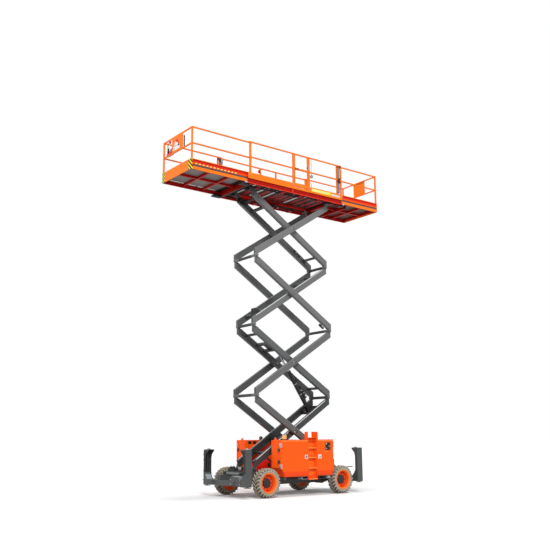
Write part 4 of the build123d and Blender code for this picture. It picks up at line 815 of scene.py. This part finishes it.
for stage in (1, 2, 3, 4):
    for pair, lane in LANES.items():
        way = 1 if (stage % 2 == 1) == (pair == "inner") else -1
        body = f"{pair}_arms_{stage}"
        inner_y, outer_y = lane - ARM_W / 2, lane + ARM_W / 2

        def arm(along, across, y=0.0):
            return on_arm(stage, way, along, across, y)

        own = NODE_FINISH.get(body, "arm_grey")
        pins = Shape(body + "_pins", body, "arm_grey", own, "arm_edge_soft")
        for pins.side in (-1, 1):
            if body != "outer_arms_1":
                # keeper plate over the lower pin's collar
                at = arm(-pin_along, -PIN_OFFSET, outer_y + COLLAR)
                pins.turned(at, OUT, [(0, 0.04), (0.004, 0.04), (0.006, 0.036)], 0, 28)
                along = (arm(0.03, 0) - arm(0, 0)) * 0.72
                for s in (-1, 1):
                    pins.bolt(at + Vector((0, 0.006, 0)) + along * s, (0, 0.007, 0), 0.0075, 1)
            if pair == "inner":
                at = arm(0, 0, LANES["outer"] + ARM_W / 2 + COLLAR)
                pins.turned(at, OUT, [(0, 0.04), (0.005, 0.04), (0.008, 0.034)], 0, 28)
                for s in (-1, 1):
                    pins.bolt(at + Vector((0.02 * s, 0.008, 0.012 * s)), (0, 0.007, 0), 0.008, 1)
            else:
                # anti-turn bolts beside the centre pin's head
                for s in (-1, 1):
                    pins.bolt(arm(0.115 * s, 0.03 * s, outer_y), (0, 0.012, 0), 0.013, 1)
            pins.turned(arm(-pin_along, -PIN_OFFSET, inner_y), INWARD, weld, 0, 28, True)

        # rounded corners along the beams as rods: painted highlights on the outer upper edges, brightest on two
        # arms, and painted shade on the other edges
        highlit = body in ("inner_arms_1", "inner_arms_3")
        upper_edge = "arm_edge" if highlit else "arm_edge_soft"
        corners = Shape(body + "_corners", body, "arm_grey", upper_edge, "arm_edge_low")
        run = pin_along - 0.19
        inset = 0.0055
        for corners.side in (-1, 1):
            for y, upper in ((inner_y + inset, 1), (outer_y - inset, 0)):
                for s, mat in ((1, upper), (-1, 1)):
                    across = s * (ARM_DEPTH / 2 - inset)
                    corners.rod(arm(-run, across, y), arm(run, across, y),
                                0.009 if highlit and mat == 0 else 0.007, mat, 8)

        if pair == "inner":
            lines = Shape(body + "_pipes", body, "jack_black", "rubber_black", "dark_paint",
                          side=-1)
            bands = PIPE_BANDS[stage]
            run = half_pin - 0.16
            for n, across in enumerate(bands):
                end = run - 0.03 * n
                lines.tube([arm(a, across, inner_y - 0.009) for a in (-end, 0, end)], 0.0085, 0, 10)
            low, high = min(bands) - 0.014, max(bands) + 0.014
            for k in range(7):
                along = (run - 0.12) * (k - 3) / 3
                a, b = along - 0.018, along + 0.018
                clip = [arm(*at, inner_y) for at in ((a, low), (b, low), (b, high), (a, high))]
                lines.plate(clip, (0, -0.02, 0), 1)

FRONTWARD = -1                # way of the arms that rise to the front


def arm_block(shape, stage, along, across, size, y, mat, edge=0.006):
    """Block lying along a beam that rises to the front; size is along, across, through."""
    at = on_arm(stage, FRONTWARD, along, across, y)
    half = Vector((size[0] / 2, size[2] / 2, size[1] / 2))
    shape.block(at - half, at + half, mat, edge, Matrix.Rotation(beam_angle, 4, "Y"))


# pipe clamps and gussets on the top arms, and a sensor on the third pair's cross tube
clamps = Shape("upper_arm_clamps", "inner_arms_4", "cylinder_black", "black", "zinc")
for along, across, size, y, mat in (
    (-0.98, 0.045, (0.16, 0.085, 0.026), 0.336, 0), (-0.99, 0.045, (0.05, 0.045, 0.012), 0.322, 1),
    (-1.16, 0.02, (0.09, 0.06, 0.024), 0.337, 0),
):
    arm_block(clamps, 4, along, across, size, y, mat)
# gussets between the top arms in the darker edge grey, painted shade between the arms
gussets = Shape("top_arm_gussets", "inner_arms_4", "arm_grey", "arm_edge_low")
outline = [(-0.125, 0.3495), (-0.06, 0.3495), (0.06, 0.3495), (0.125, 0.3495), (0.06, 0.3),
           (0.03, 0.245), (-0.03, 0.245), (-0.06, 0.3)]
through = (0.014 * sin(beam_angle), 0, 0.014 * cos(beam_angle))
for along, across in ((-1.4, -0.007), (1.15, -0.007), (1.55, 0.023)):
    for gussets.side in (-1, 1):
        plate = [on_arm(4, FRONTWARD, along + a, across, y) for a, y in outline]
        gussets.plate(plate, through)
sensor = Shape("cross_tube_sensor", "outer_arms_3", "cylinder_black", "black", "zinc",
               "dark_paint")
for along, across, size, mat, edge in (
    (-1.65, -0.024, (0.22, 0.06, 0.056), 0, 0.006), (-1.6, 0.004, (0.1, 0.032, 0.048), 2, 0.006),
    (-1.7, -0.04, (0.06, 0.026, 0.062), 1, 0.004), (-1.63, -0.03, (0.035, 0.04, 0.062), 1, 0.004),
):
    arm_block(sensor, 3, along, across, size, -0.285, mat, edge)
bosses = Shape("second_arm_bosses", "inner_arms_2", "cylinder_black", "black", "zinc")
cap = [(0, 0.052), (0.01, 0.052), (0.012, 0.044), (0.012, 0)]
ring = [(0, 0.03), (0.003, 0.028), (0.003, 0.018), (0, 0.016)]
for x, z in ((-0.228, 4.396), (0.229, 4.029)):
    for bosses.side in (-1, 1):
        bosses.turned((x, 0.349, z), INWARD, cap, 0, 28)
        bosses.turned((x, 0.337, z), INWARD, ring, 1, 24, True)
cap = [(0, 0.034), (0.008, 0.034), (0.01, 0.027), (0.01, 0)]
ring = [(0, 0.024), (0.002, 0.022), (0.002, 0.016), (0, 0.014)]
for stage in (1, 2, 4):
    body = f"outer_arms_{stage}"
    boss = Shape(body + "_bosses", body, "arm_grey", "arm_mid", "zinc")
    z = PIVOT[f"centre_pin_{stage}"].z - 0.02
    for boss.side in (-1, 1):
        boss.turned((0.15, 0.601, z), OUT, cap, 0, 28)
        boss.turned((0.15, 0.611, z), OUT, ring, 1, 24, True)

# lift cylinder's gland, ports, pipe and valve blocks
stroke = next(j for j in frame["joints"] if j["name"] == "cylinder_stroke")
axis = Vector(stroke["axis"]).normalized()
across = Vector((axis.z, 0, -axis.x))
tilt = Matrix.Rotation(atan2(axis.x, axis.z), 4, "Y")


def on_ram(along, out=0.0, y=0.0):
    return PIVOT["cylinder_pitch"] + axis * along + across * out + Vector((0, y, 0))


ram = Shape("lift_cylinder_ports", "cylinder_barrel", "cylinder_black", "cylinder_black", "steel",
            "rubber_black")
port = [(0, 0.03), (0.016, 0.03), (0.02, 0.02), (0.034, 0.02), (0.036, 0.013), (0.046, 0.013)]
for along in (0.14, 1.16):
    ram.turned(on_ram(along, 0.06), across, port, 1, 20)
gland = [(0, 0.0655), (0.002, 0.0745), (0.014, 0.0745), (0.016, 0.0655)]
ram.turned(on_ram(1.222), axis, gland, 0, 40, True)
pipe = ((1.16, 0.1), (1.08, 0.112), (0.6, 0.082), (0.24, 0.082), (0.14, 0.1))
ram.tube([on_ram(*at) for at in pipe], 0.009, 2)
for along, out, half, mat in (
    (0.36, 0.082, (0.04, 0.085, 0.13), 0), (0.3, 0.098, (0.026, 0.098, 0.04), 1),
    (0.44, 0.1, (0.022, 0.095, 0.03), 0), (0.62, 0.095, (0.03, 0.05, 0.06), 0),
    (0.9, 0.088, (0.022, 0.04, 0.04), 0),
):
    middle, half = on_ram(along, out), Vector(half)
    ram.block(middle - half, middle + half, mat, 0.006, tilt)
plug = [(0, 0.016), (0.014, 0.016), (0.018, 0.01), (0.028, 0.01), (0.028, 0)]
for along, s in ((0.3, -1), (0.38, 1), (0.42, -1)):
    ram.turned(on_ram(along, 0.085, s * 0.085), (0, s, 0), plug, 1, 16)
band = [(0, 0.0655), (0.001, 0.069), (0.019, 0.069), (0.02, 0.0655)]
for along in (0.42, 0.8):
    ram.turned(on_ram(along), axis, band, 1, 40, True)

# ---- decks
def lozenges(shape, x, y, z, pitch):
    """Rows of raised bars, alternately turned, as on tread plate."""
    wide, deep = x[1] - x[0], y[1] - y[0]
    nx, ny = int(wide / pitch), int(deep / pitch)
    for i in range(nx):
        for k in range(ny):
            c = Vector((x[0] + (i + 0.5) * wide / nx, y[0] + (k + 0.5) * deep / ny, z))
            a = radians(45 if (i + k) % 2 else -45)
            u, v = Vector((cos(a), sin(a), 0)) * 0.017, Vector((-sin(a), cos(a), 0)) * 0.0048
            top = c + Vector((0, 0, 0.0016))
            lower = [shape.bm.verts.new(c + p) for p in (u, v, -u, -v)]
            upper = [shape.bm.verts.new(top + p * 0.62) for p in (u, v, -u, -v)]
            shape.bm.faces.new(upper)
            for corners in zip(lower, lower[1:] + lower[:1], upper[1:] + upper[:1], upper):
                shape.bm.faces.new(corners)


tread = Shape("main_deck_tread", "platform", "deck_red", "tread_grey")
low, high = main_x
sheet_z = (deck_top + 0.0035, deck_top + 0.0055)
tread.span((low + 0.012, high - 0.012), (-0.8, 0.8), sheet_z, 0, 0.0005)
lozenges(tread, (low + 0.03, high - 0.03), (-0.79, 0.79), deck_top + 0.0054, 0.045)
for x in (-1.0, 0.25, 1.45):
    for y in (-0.76, -0.38, 0.0, 0.38, 0.76):
        tread.turned((x, y, deck_top + 0.005), UP, [(0, 0.012), (0.0025, 0.01), (0.0025, 0)], 0, 12)
for name, front_gap, rear_gap in (("front_extension", 0.02, 0.01), ("rear_extension", 0.01, 0.02)):
    low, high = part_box(name)
    x = (low.x + front_gap, high.x - rear_gap)
    z = deck_top - 0.042
    tread = Shape(name + "_tread", name, "deck_red", "tread_grey")
    tread.span(x, (-0.826, 0.826), (z - 0.0005, z + 0.002), 0, 0.0005)
    lozenges(tread, (x[0] + 0.02, x[1] - 0.02), (-0.81, 0.81), z + 0.0019, 0.05)

# ribs under the main deck, red or pale
ribs = Shape("deck_ribs", "platform", "deck_red", "rib_red", "pale")
rib_z = (deck_top - 0.0365, deck_top - 0.0295)
for x, wide, mat in (
    (-1.45, 0.1, 0), (-1.2, 0.07, 1), (-0.96, 0.1, 0), (-0.7, 0.08, 1), (-0.47, 0.13, 0),
    (-0.22, 0.07, 1), (0.03, 0.06, 0), (0.16, 0.05, 0), (0.3, 0.1, 0), (0.52, 0.06, 0),
    (0.72, 0.08, 1), (0.92, 0.09, 0), (1.16, 0.11, 0), (1.46, 0.11, 0), (1.74, 0.1, 0),
):
    ribs.span((x, x + wide), (-0.59, 0.59), rib_z, mat, 0.0015)
rib_x, rib_z = (main_x[0] + 0.2, main_x[1] - 0.2), (rib_z[0] + 0.001, rib_z[1])
for ribs.side in (-1, 1):
    for y in (0.3, 0.69, 0.75):
        ribs.span(rib_x, (y, y + 0.045), rib_z, 0, 0.0015)

# roller brackets at the ends of the side channels, silver outside and black inside
guides = Shape("slide_guides", "platform", "rod_chrome", "conduit", "black", "steel")
roller = [(0, 0.03), (0.046, 0.03), (0.05, 0.022), (0.052, 0)]
for guides.side in (-1, 1):
    for x, s in ((main_x[0], -1), (main_x[1], 1)):
        guides.span((x - s * 0.03, x + s * 0.105), (0.862, 0.906), (9.402, 9.442), 0, 0.008)
        guides.turned((x + s * 0.07, 0.862, 9.418), OUT, roller, 2)
        for dx in (0.02, 0.05):
            guides.bolt((x + s * dx, 0.906, 9.437), (0, 0.008, 0), 0.009, 2)
        inner_x = x - 0.22 if s < 0 else x + 0.1
        guides.span((x - s * 0.1, inner_x), (0.69, 0.852), (9.352, 9.402), 1, 0.012)
        guides.span((x + s * 0.004, x + s * 0.13), (0.69, 0.852), (9.395, 9.436), 1, 0.01)

pipes = Shape("deck_pipes", "platform", "jack_black", "rubber_black", "dark_paint", "steel",
              at=(0, 0, ext_low.z - 0.02))
for i in range(3):
    y = -0.715 - i * 0.03
    end = 1.4 - i * 0.05
    pipes.tube([(-1.2, y, 0), (-0.2, y, 0), (end, y, 0), (end + 0.06, y + 0.03, 0)], 0.009)
pipes.tube([(-1.1, 0.72, 0), (0.3, 0.72, 0), (0.36, 0.76, 0), (1.3, 0.76, 0)], 0.012, 1)
for x in (-0.9, -0.4, 0.1, 0.6, 1.1):
    for y in ((-0.8, -0.68), (0.68, 0.785)):
        pipes.span((x, x + 0.03), y, (-0.013, 0.006), 2)

# ---- guard rails' fittings
near = Shape("left_rail_fittings", "platform", "platform_orange", "black", "blue_grey",
             "signal_red", "conduit", "platform_orange", at=(0, post_y, 0), side=-1)
# tube, knobs and a strap beside the gate's hinge post
x = post_b + 0.03
near.tube([(x, 0.002, rail_top - 0.03), (x, 0.002, 10.3)], 0.0085, 1)
near.pole(x, 0, (rail_top - 0.06, rail_top - 0.02), 0.014)
near.pole(x, 0, (10.272, 10.31), 0.014)
near.tube([(x + 0.01, 0, 10.0), (x + 0.045, 0.003, 9.92), (x + 0.05, 0.003, 9.8),
           (x + 0.005, 0, 9.7)], 0.006)
# clips and locking pins at the end posts
for x in (post_a + 0.034, post_e - 0.034):
    for z in (10.69, 10.285, 10.16):
        near.span((x - 0.012, x + 0.012), (-0.02, 0.02), (z, z + 0.045), 0, 0.004)
near.blocks(
    ((post_e - 0.11, -0.022, rail_top - 0.046), (post_e - 0.04, 0.022, rail_top - 0.003), 2, 0.006),
    ((post_e - 0.045, -0.026, rail_top - 0.07), (post_e - 0.01, 0.027, rail_top - 0.002), 0, 0.01),
    ((post_e - 0.092, -0.02, 10.235), (post_e - 0.03, 0.024, 10.28), 2, 0.006),
)
# conduit with its round socket behind the gate's latch post, and the tube before the last post
x = post_c + 0.115
near.tube([(x, -0.012, rail_top - 0.03), (x, -0.012, 10.2)], 0.0075, 3)
socket = [(0, 0.05), (0.026, 0.058), (0.04, 0.058), (0.044, 0.05), (0.04, 0.042), (0.034, 0)]
near.turned((x, -0.03, 10.13), OUT, socket, 3, 32)
near.tube([(post_c + 0.05, 0.018, 9.9), (post_c + 0.085, 0.014, 9.84),
           (post_c + 0.075, 0.014, 9.76), (post_c + 0.045, 0.014, 9.72)], 0.007)
x = post_e - 0.15
for low, high, r, mat in ((9.76, 10.1, 0.03, 1), (10.1, 10.28, 0.031, 0),
                          (10.28, 10.68, 0.03, 1), (10.68, 10.7, 0.033, 0)):
    near.pole(x, 0.0605, (low, high), r, mat, 24, 0.005)
for z in (9.84, 10.24, 10.62):
    near.span((x - 0.035, x + 0.035), (0.0185, 0.0405), (z, z + 0.03), 4)

latch = Shape("gate_latch", "entry_gate", "platform_orange", "black", "signal_red", "steel",
              at=(0, gate_low.y, 10))
a, b = gate_low.x, gate_high.x
latch.blocks(
    ((a + 0.115, -0.012, 0.245), (a + 0.19, 0.004, 0.285), 0, 0.005),
    ((a + 0.06, -0.01, 0.205), (a + 0.088, 0.004, 0.3), 0, 0.005),
    ((b - 0.05, -0.014, 0.33), (b - 0.012, 0.004, 0.44), 1, 0.005),
    ((b - 0.075, -0.01, 0.35), (b - 0.05, 0.004, 0.42), 0, 0.004),
)
latch.pole(b - 0.03, -0.02, (0.3, 0.47), 0.008, 2)

# blank strips on the left toe board
strips = Shape("toe_board_strips", "platform", "platform_orange", "lime", "yellow", "pale",
               at=(0, -main_half, 0))
strips.blocks(
    ((0.765, -0.0025, 9.618), (1.475, 0.001, 9.712), 0, 0.001),
    ((1.475, -0.004, 9.606), (1.585, 0.001, 9.728), 1, 0.002),
    ((1.615, -0.0025, 9.616), (2.01, 0.001, 9.69), 2, 0.001),
)

seams = Shape("toe_board_seams", "platform", "platform_orange", "platform_orange", "steel",
              "trim_red")
bead = [(0, 0.0235), (0.003, 0.022), (0.008, 0.0185)]     # weld where a rail meets a post
for seams.side in (-1, 1):
    for x in (post_a, post_b, post_c, post_e):
        seams.span((x - 0.045, x + 0.045), (main_half - 0.002, main_half + 0.006), (9.64, 9.742))
        for dx in (-0.028, 0.028):
            for z in (9.665, 9.715):
                seams.bolt((x + dx, main_half + 0.006, z), (0, 0.008, 0), 0.008, 1)
        for z in (10.26, rail_top - 0.019):
            for s in (-1, 1):
                seams.turned((x + s * 0.0225, post_y, z), (s, 0, 0), bead, 0, 4)
    # joint in the side channel below the hinge post
    seams.span((post_b - 0.02, post_b + 0.02), (0.884, 0.889), (9.445, 9.548), 2, 0.001)
    for k in range(9):
        seams.bolt((main_x[0] + 0.15 + 0.45 * k, 0.885, 9.5), (0, 0.008, 0), 0.01, 2)

# latch items on the far rails
far = Shape("right_rail_fittings", "platform", "platform_orange", "black", "signal_red",
            "blue_grey", "steel", at=(0, post_y, 10))
far.block((post_b - 0.05, -0.05, 0.585), (post_b - 0.028, 0.012, 0.69), 0, 0.005)
far.pole(post_b - 0.08, -0.03, (0.575, 0.675), 0.018, 1)
far.pole(post_b - 0.12, -0.03, (0.56, 0.64), 0.014, 3)
far.pole(post_b + 0.03, -0.02, (0.62, 0.7), 0.01, 3)
for x, z, mat in ((post_a + 0.04, 0.7, 0), (post_a + 0.042, 0.6, 2), (post_a + 0.02, 0.52, 1)):
    far.span((x - 0.018, x + 0.018), (-0.045, -0.02), (z, z + 0.075), mat, 0.006)
far.pole(post_a + 0.055, -0.035, (0.45, 0.74), 0.014, 2)
lock = Shape("front_rail_lock", "front_extension", "platform_orange", "black", "signal_red", "pale",
             "blue_grey", at=(frails_high.x - 0.0225, ext_half - 0.0225, 10))
lock.blocks(
    ((-0.15, -0.03, 0.665), (-0.1, 0.01, 0.74), 0, 0.006),
    ((-0.1, -0.028, 0.69), (-0.055, 0.008, 0.72), 1, 0.004),
    ((-0.16, -0.02, 0.5), (-0.13, 0.008, 0.66), 1, 0.005),
    ((-0.055, -0.034, 0.56), (-0.024, 0.01, 0.735), 0, 0.006),
)
knob = [(0, 0.03), (0.012, 0.034), (0.026, 0.03), (0.03, 0.014), (0.03, 0)]
lock.turned((-0.07, -0.03, 0.55), INWARD, knob, 3)
lock.rod((-0.012, -0.03, 0.6), (0.06, -0.03, 0.7), 0.016, 3)
lock.rod((0.01, -0.03, 0.5), (0.05, -0.03, 0.62), 0.014)
lock.pole(-0.115, -0.005, (0.52, 0.66), 0.012, 2)

# ---- front extension
# pale plates in the side channel's slots, painted light showing through them
dots = Shape("channel_slots", "front_extension", "platform_orange", "lime",
             at=(0, ext_half - 0.008, 9.6165))
slot = ((0, 0), (0.062, 0), (0.072, 0.034), (0.01, 0.034))
for dots.side in (-1, 1):
    for i in range(12):
        x = -3.69 + i * 0.129
        dots.plate([(x + dx, 0, dz) for dx, dz in slot], (0, 0.003, 0), 0, 0.001)
# white strips under the deck's side edges, painted light showing through the gaps there
glow = Shape("channel_light_gaps", "front_extension", "platform_orange", "white")
for x in ((-3.6, -3.11), (-3.06, -2.68), (-2.6, -1.93)):
    for glow.side in (-1, 1):
        glow.span(x, (0.724, 0.79), (9.566, 9.5705), 0, 0.001)

panel_x = frails_low.x
board = Shape("front_panel_fittings", "front_extension", "platform_orange", "black", "white",
              "signal_red", "dark_paint", "steel", at=(panel_x, 0, 10))
board.blocks(
    ((-0.004, -0.428, 0.285), (0.02, -0.385, 0.628), 0, 0.006),
    ((-0.003, -0.15, 0.315), (0.001, 0.225, 0.455), 1, 0.001),
    ((-0.006, -0.145, 0.4), (0.001, -0.06, 0.45), 3, 0.003),
    ((-0.006, 0.14, 0.35), (0.001, 0.17, 0.372), 0, 0.002),
)
hood = ((0.2, 0.44), (-0.09, 0.44), (-0.02, 0.52), (0.09, 0.6), (0.15, 0.52))
board.plate([(-0.003, y, z) for y, z in hood], (0.004, 0, 0), 1, 0.0005)
button = [(0, 0.04), (0.003, 0.04), (0.004, 0.05), (0.008, 0.049), (0.0105, 0.034), (0.011, 0)]
board.turned((0, 0.03, 0.605), FORWARD, button, 2, 32)
lever = ((-0.05, 0.47), (-0.08, 0.5), (-0.06, 0.56), (-0.01, 0.6))
board.tube([(-0.004, y, z) for y, z in lever], 0.006, 3)
for y in (-0.32, 0.28):
    for z in (0.3, 0.74):
        board.bolt((0, y, z), (-0.007, 0, 0), 0.009, 4)

# upper controls beside the panel: console on a red tray, levers, blank plate
desk = Shape("control_console", "front_extension", "platform_orange", "signal_red", "white",
             "black", "blue_grey", "trim_red", at=(panel_x + 0.03, 0, 10))
desk.blocks(
    ((-0.028, 0.35, 0.262), (0.07, 0.65, 0.335), 0, 0.012),
    ((-0.026, 0.33, 0.34), (0.08, 0.415, 0.455), 3, 0.01),
    ((-0.01, 0.425, 0.34), (0.07, 0.52, 0.42), 4, 0.008),
    ((-0.02, 0.56, 0.345), (0.022, 0.606, 0.64), 2, 0.008),
    ((-0.024, 0.47, 0.5), (-0.012, 0.56, 0.6), 1, 0.004),
    ((-0.01, 0.47, 0.655), (0.03, 0.52, 0.715), 0, 0.006),
    ((-0.012, 0.628, 0.345), (0.02, 0.66, 0.52), 1, 0.004),
)
desk.tube([(0, 0.583, 0.62), (0.01, 0.583, 0.71), (0.01, 0.5, 0.735), (0.01, 0.44, 0.7)], 0.01, 4)
joystick = [(0, 0.022), (0.012, 0.016), (0.02, 0.008), (0.05, 0.008), (0.056, 0.016),
            (0.08, 0.018), (0.092, 0.01), (0.094, 0)]
desk.turned((0.02, 0.372, 0.45), UP, joystick, 2, 20)
stop = [(0, 0.024), (0.014, 0.024), (0.016, 0.03), (0.03, 0.028), (0.034, 0.016), (0.034, 0)]
desk.turned((0.03, 0.472, 0.418), UP, stop)

for shape in Shape.every:
    shape.done()

# ---- light and floor
scene = bpy.context.scene
scene.view_settings.view_transform = "Standard"
world = bpy.data.worlds.new("studio")
scene.world = world
world.use_nodes = True
t = world.node_tree
t.nodes.clear()
ray = node(t, "LightPath").outputs
seen = calc(t, "MAXIMUM", ray["Is Camera Ray"], ray["Is Glossy Ray"])
seen = calc(t, "MAXIMUM", seen, ray["Is Transmission Ray"])
ambient = node(t, "Background", {0: (1, 1, 1, 1), 1: 0.5})
backdrop = node(t, "Background", {0: (1, 1, 1, 1), 1: 1.0})
both = node(t, "MixShader", {0: seen, 1: ambient.outputs[0], 2: backdrop.outputs[0]})
t.links.new(both.outputs[0], node(t, "OutputWorld").inputs[0])

for name, towards, strength, spread in (
    ("key", (-0.42, -0.8, 0.58), 1.95, 16),
    ("side", (-0.9, 0.1, 0.5), 0.68, 30),
    ("top", (0.0, -0.05, 1.0), 0.85, 9),
):
    data = bpy.data.lights.new(name, "SUN")
    data.energy = strength
    data.angle = radians(spread)
    lamp = bpy.data.objects.new(name, data)
    lamp.rotation_euler = Vector(towards).to_track_quat("Z", "Y").to_euler()
    scene.collection.objects.link(lamp)

floor_mesh = bpy.data.meshes.new("floor")
corners = [(-150, -150, 0), (150, -150, 0), (150, 150, 0), (-150, 150, 0)]
floor_mesh.from_pydata(corners, [], [(0, 1, 2, 3)])
floor = bpy.data.objects.new("floor", floor_mesh)
scene.collection.objects.link(floor)
pale = bpy.data.materials.new("floor_pale")
pale.use_nodes = True
t = pale.node_tree
t.nodes.clear()
spot = ranged(t, noise(t, node(t, "TexCoord").outputs["Object"], 3.0), 0.3, 0.7, 0.0, 1.0)
seen = node(t, "LightPath").outputs["Is Camera Ray"]
base = node(t, "BsdfDiffuse", {0: (0.62, 0.62, 0.62, 1)})
lit = node(t, "BsdfDiffuse", {0: blended(t, spot, (0.9, 0.9, 0.9, 1), (0.92, 0.92, 0.92, 1))})
lift = node(t, "Emission", {0: (1, 1, 1, 1), 1: 0.04})
shown = node(t, "AddShader", {0: lit.outputs[0], 1: lift.outputs[0]})
mixed = node(t, "MixShader", {0: seen, 1: base.outputs[0], 2: shown.outputs[0]})
t.links.new(mixed.outputs[0], node(t, "OutputMaterial").inputs[0])
floor_mesh.materials.append(pale)
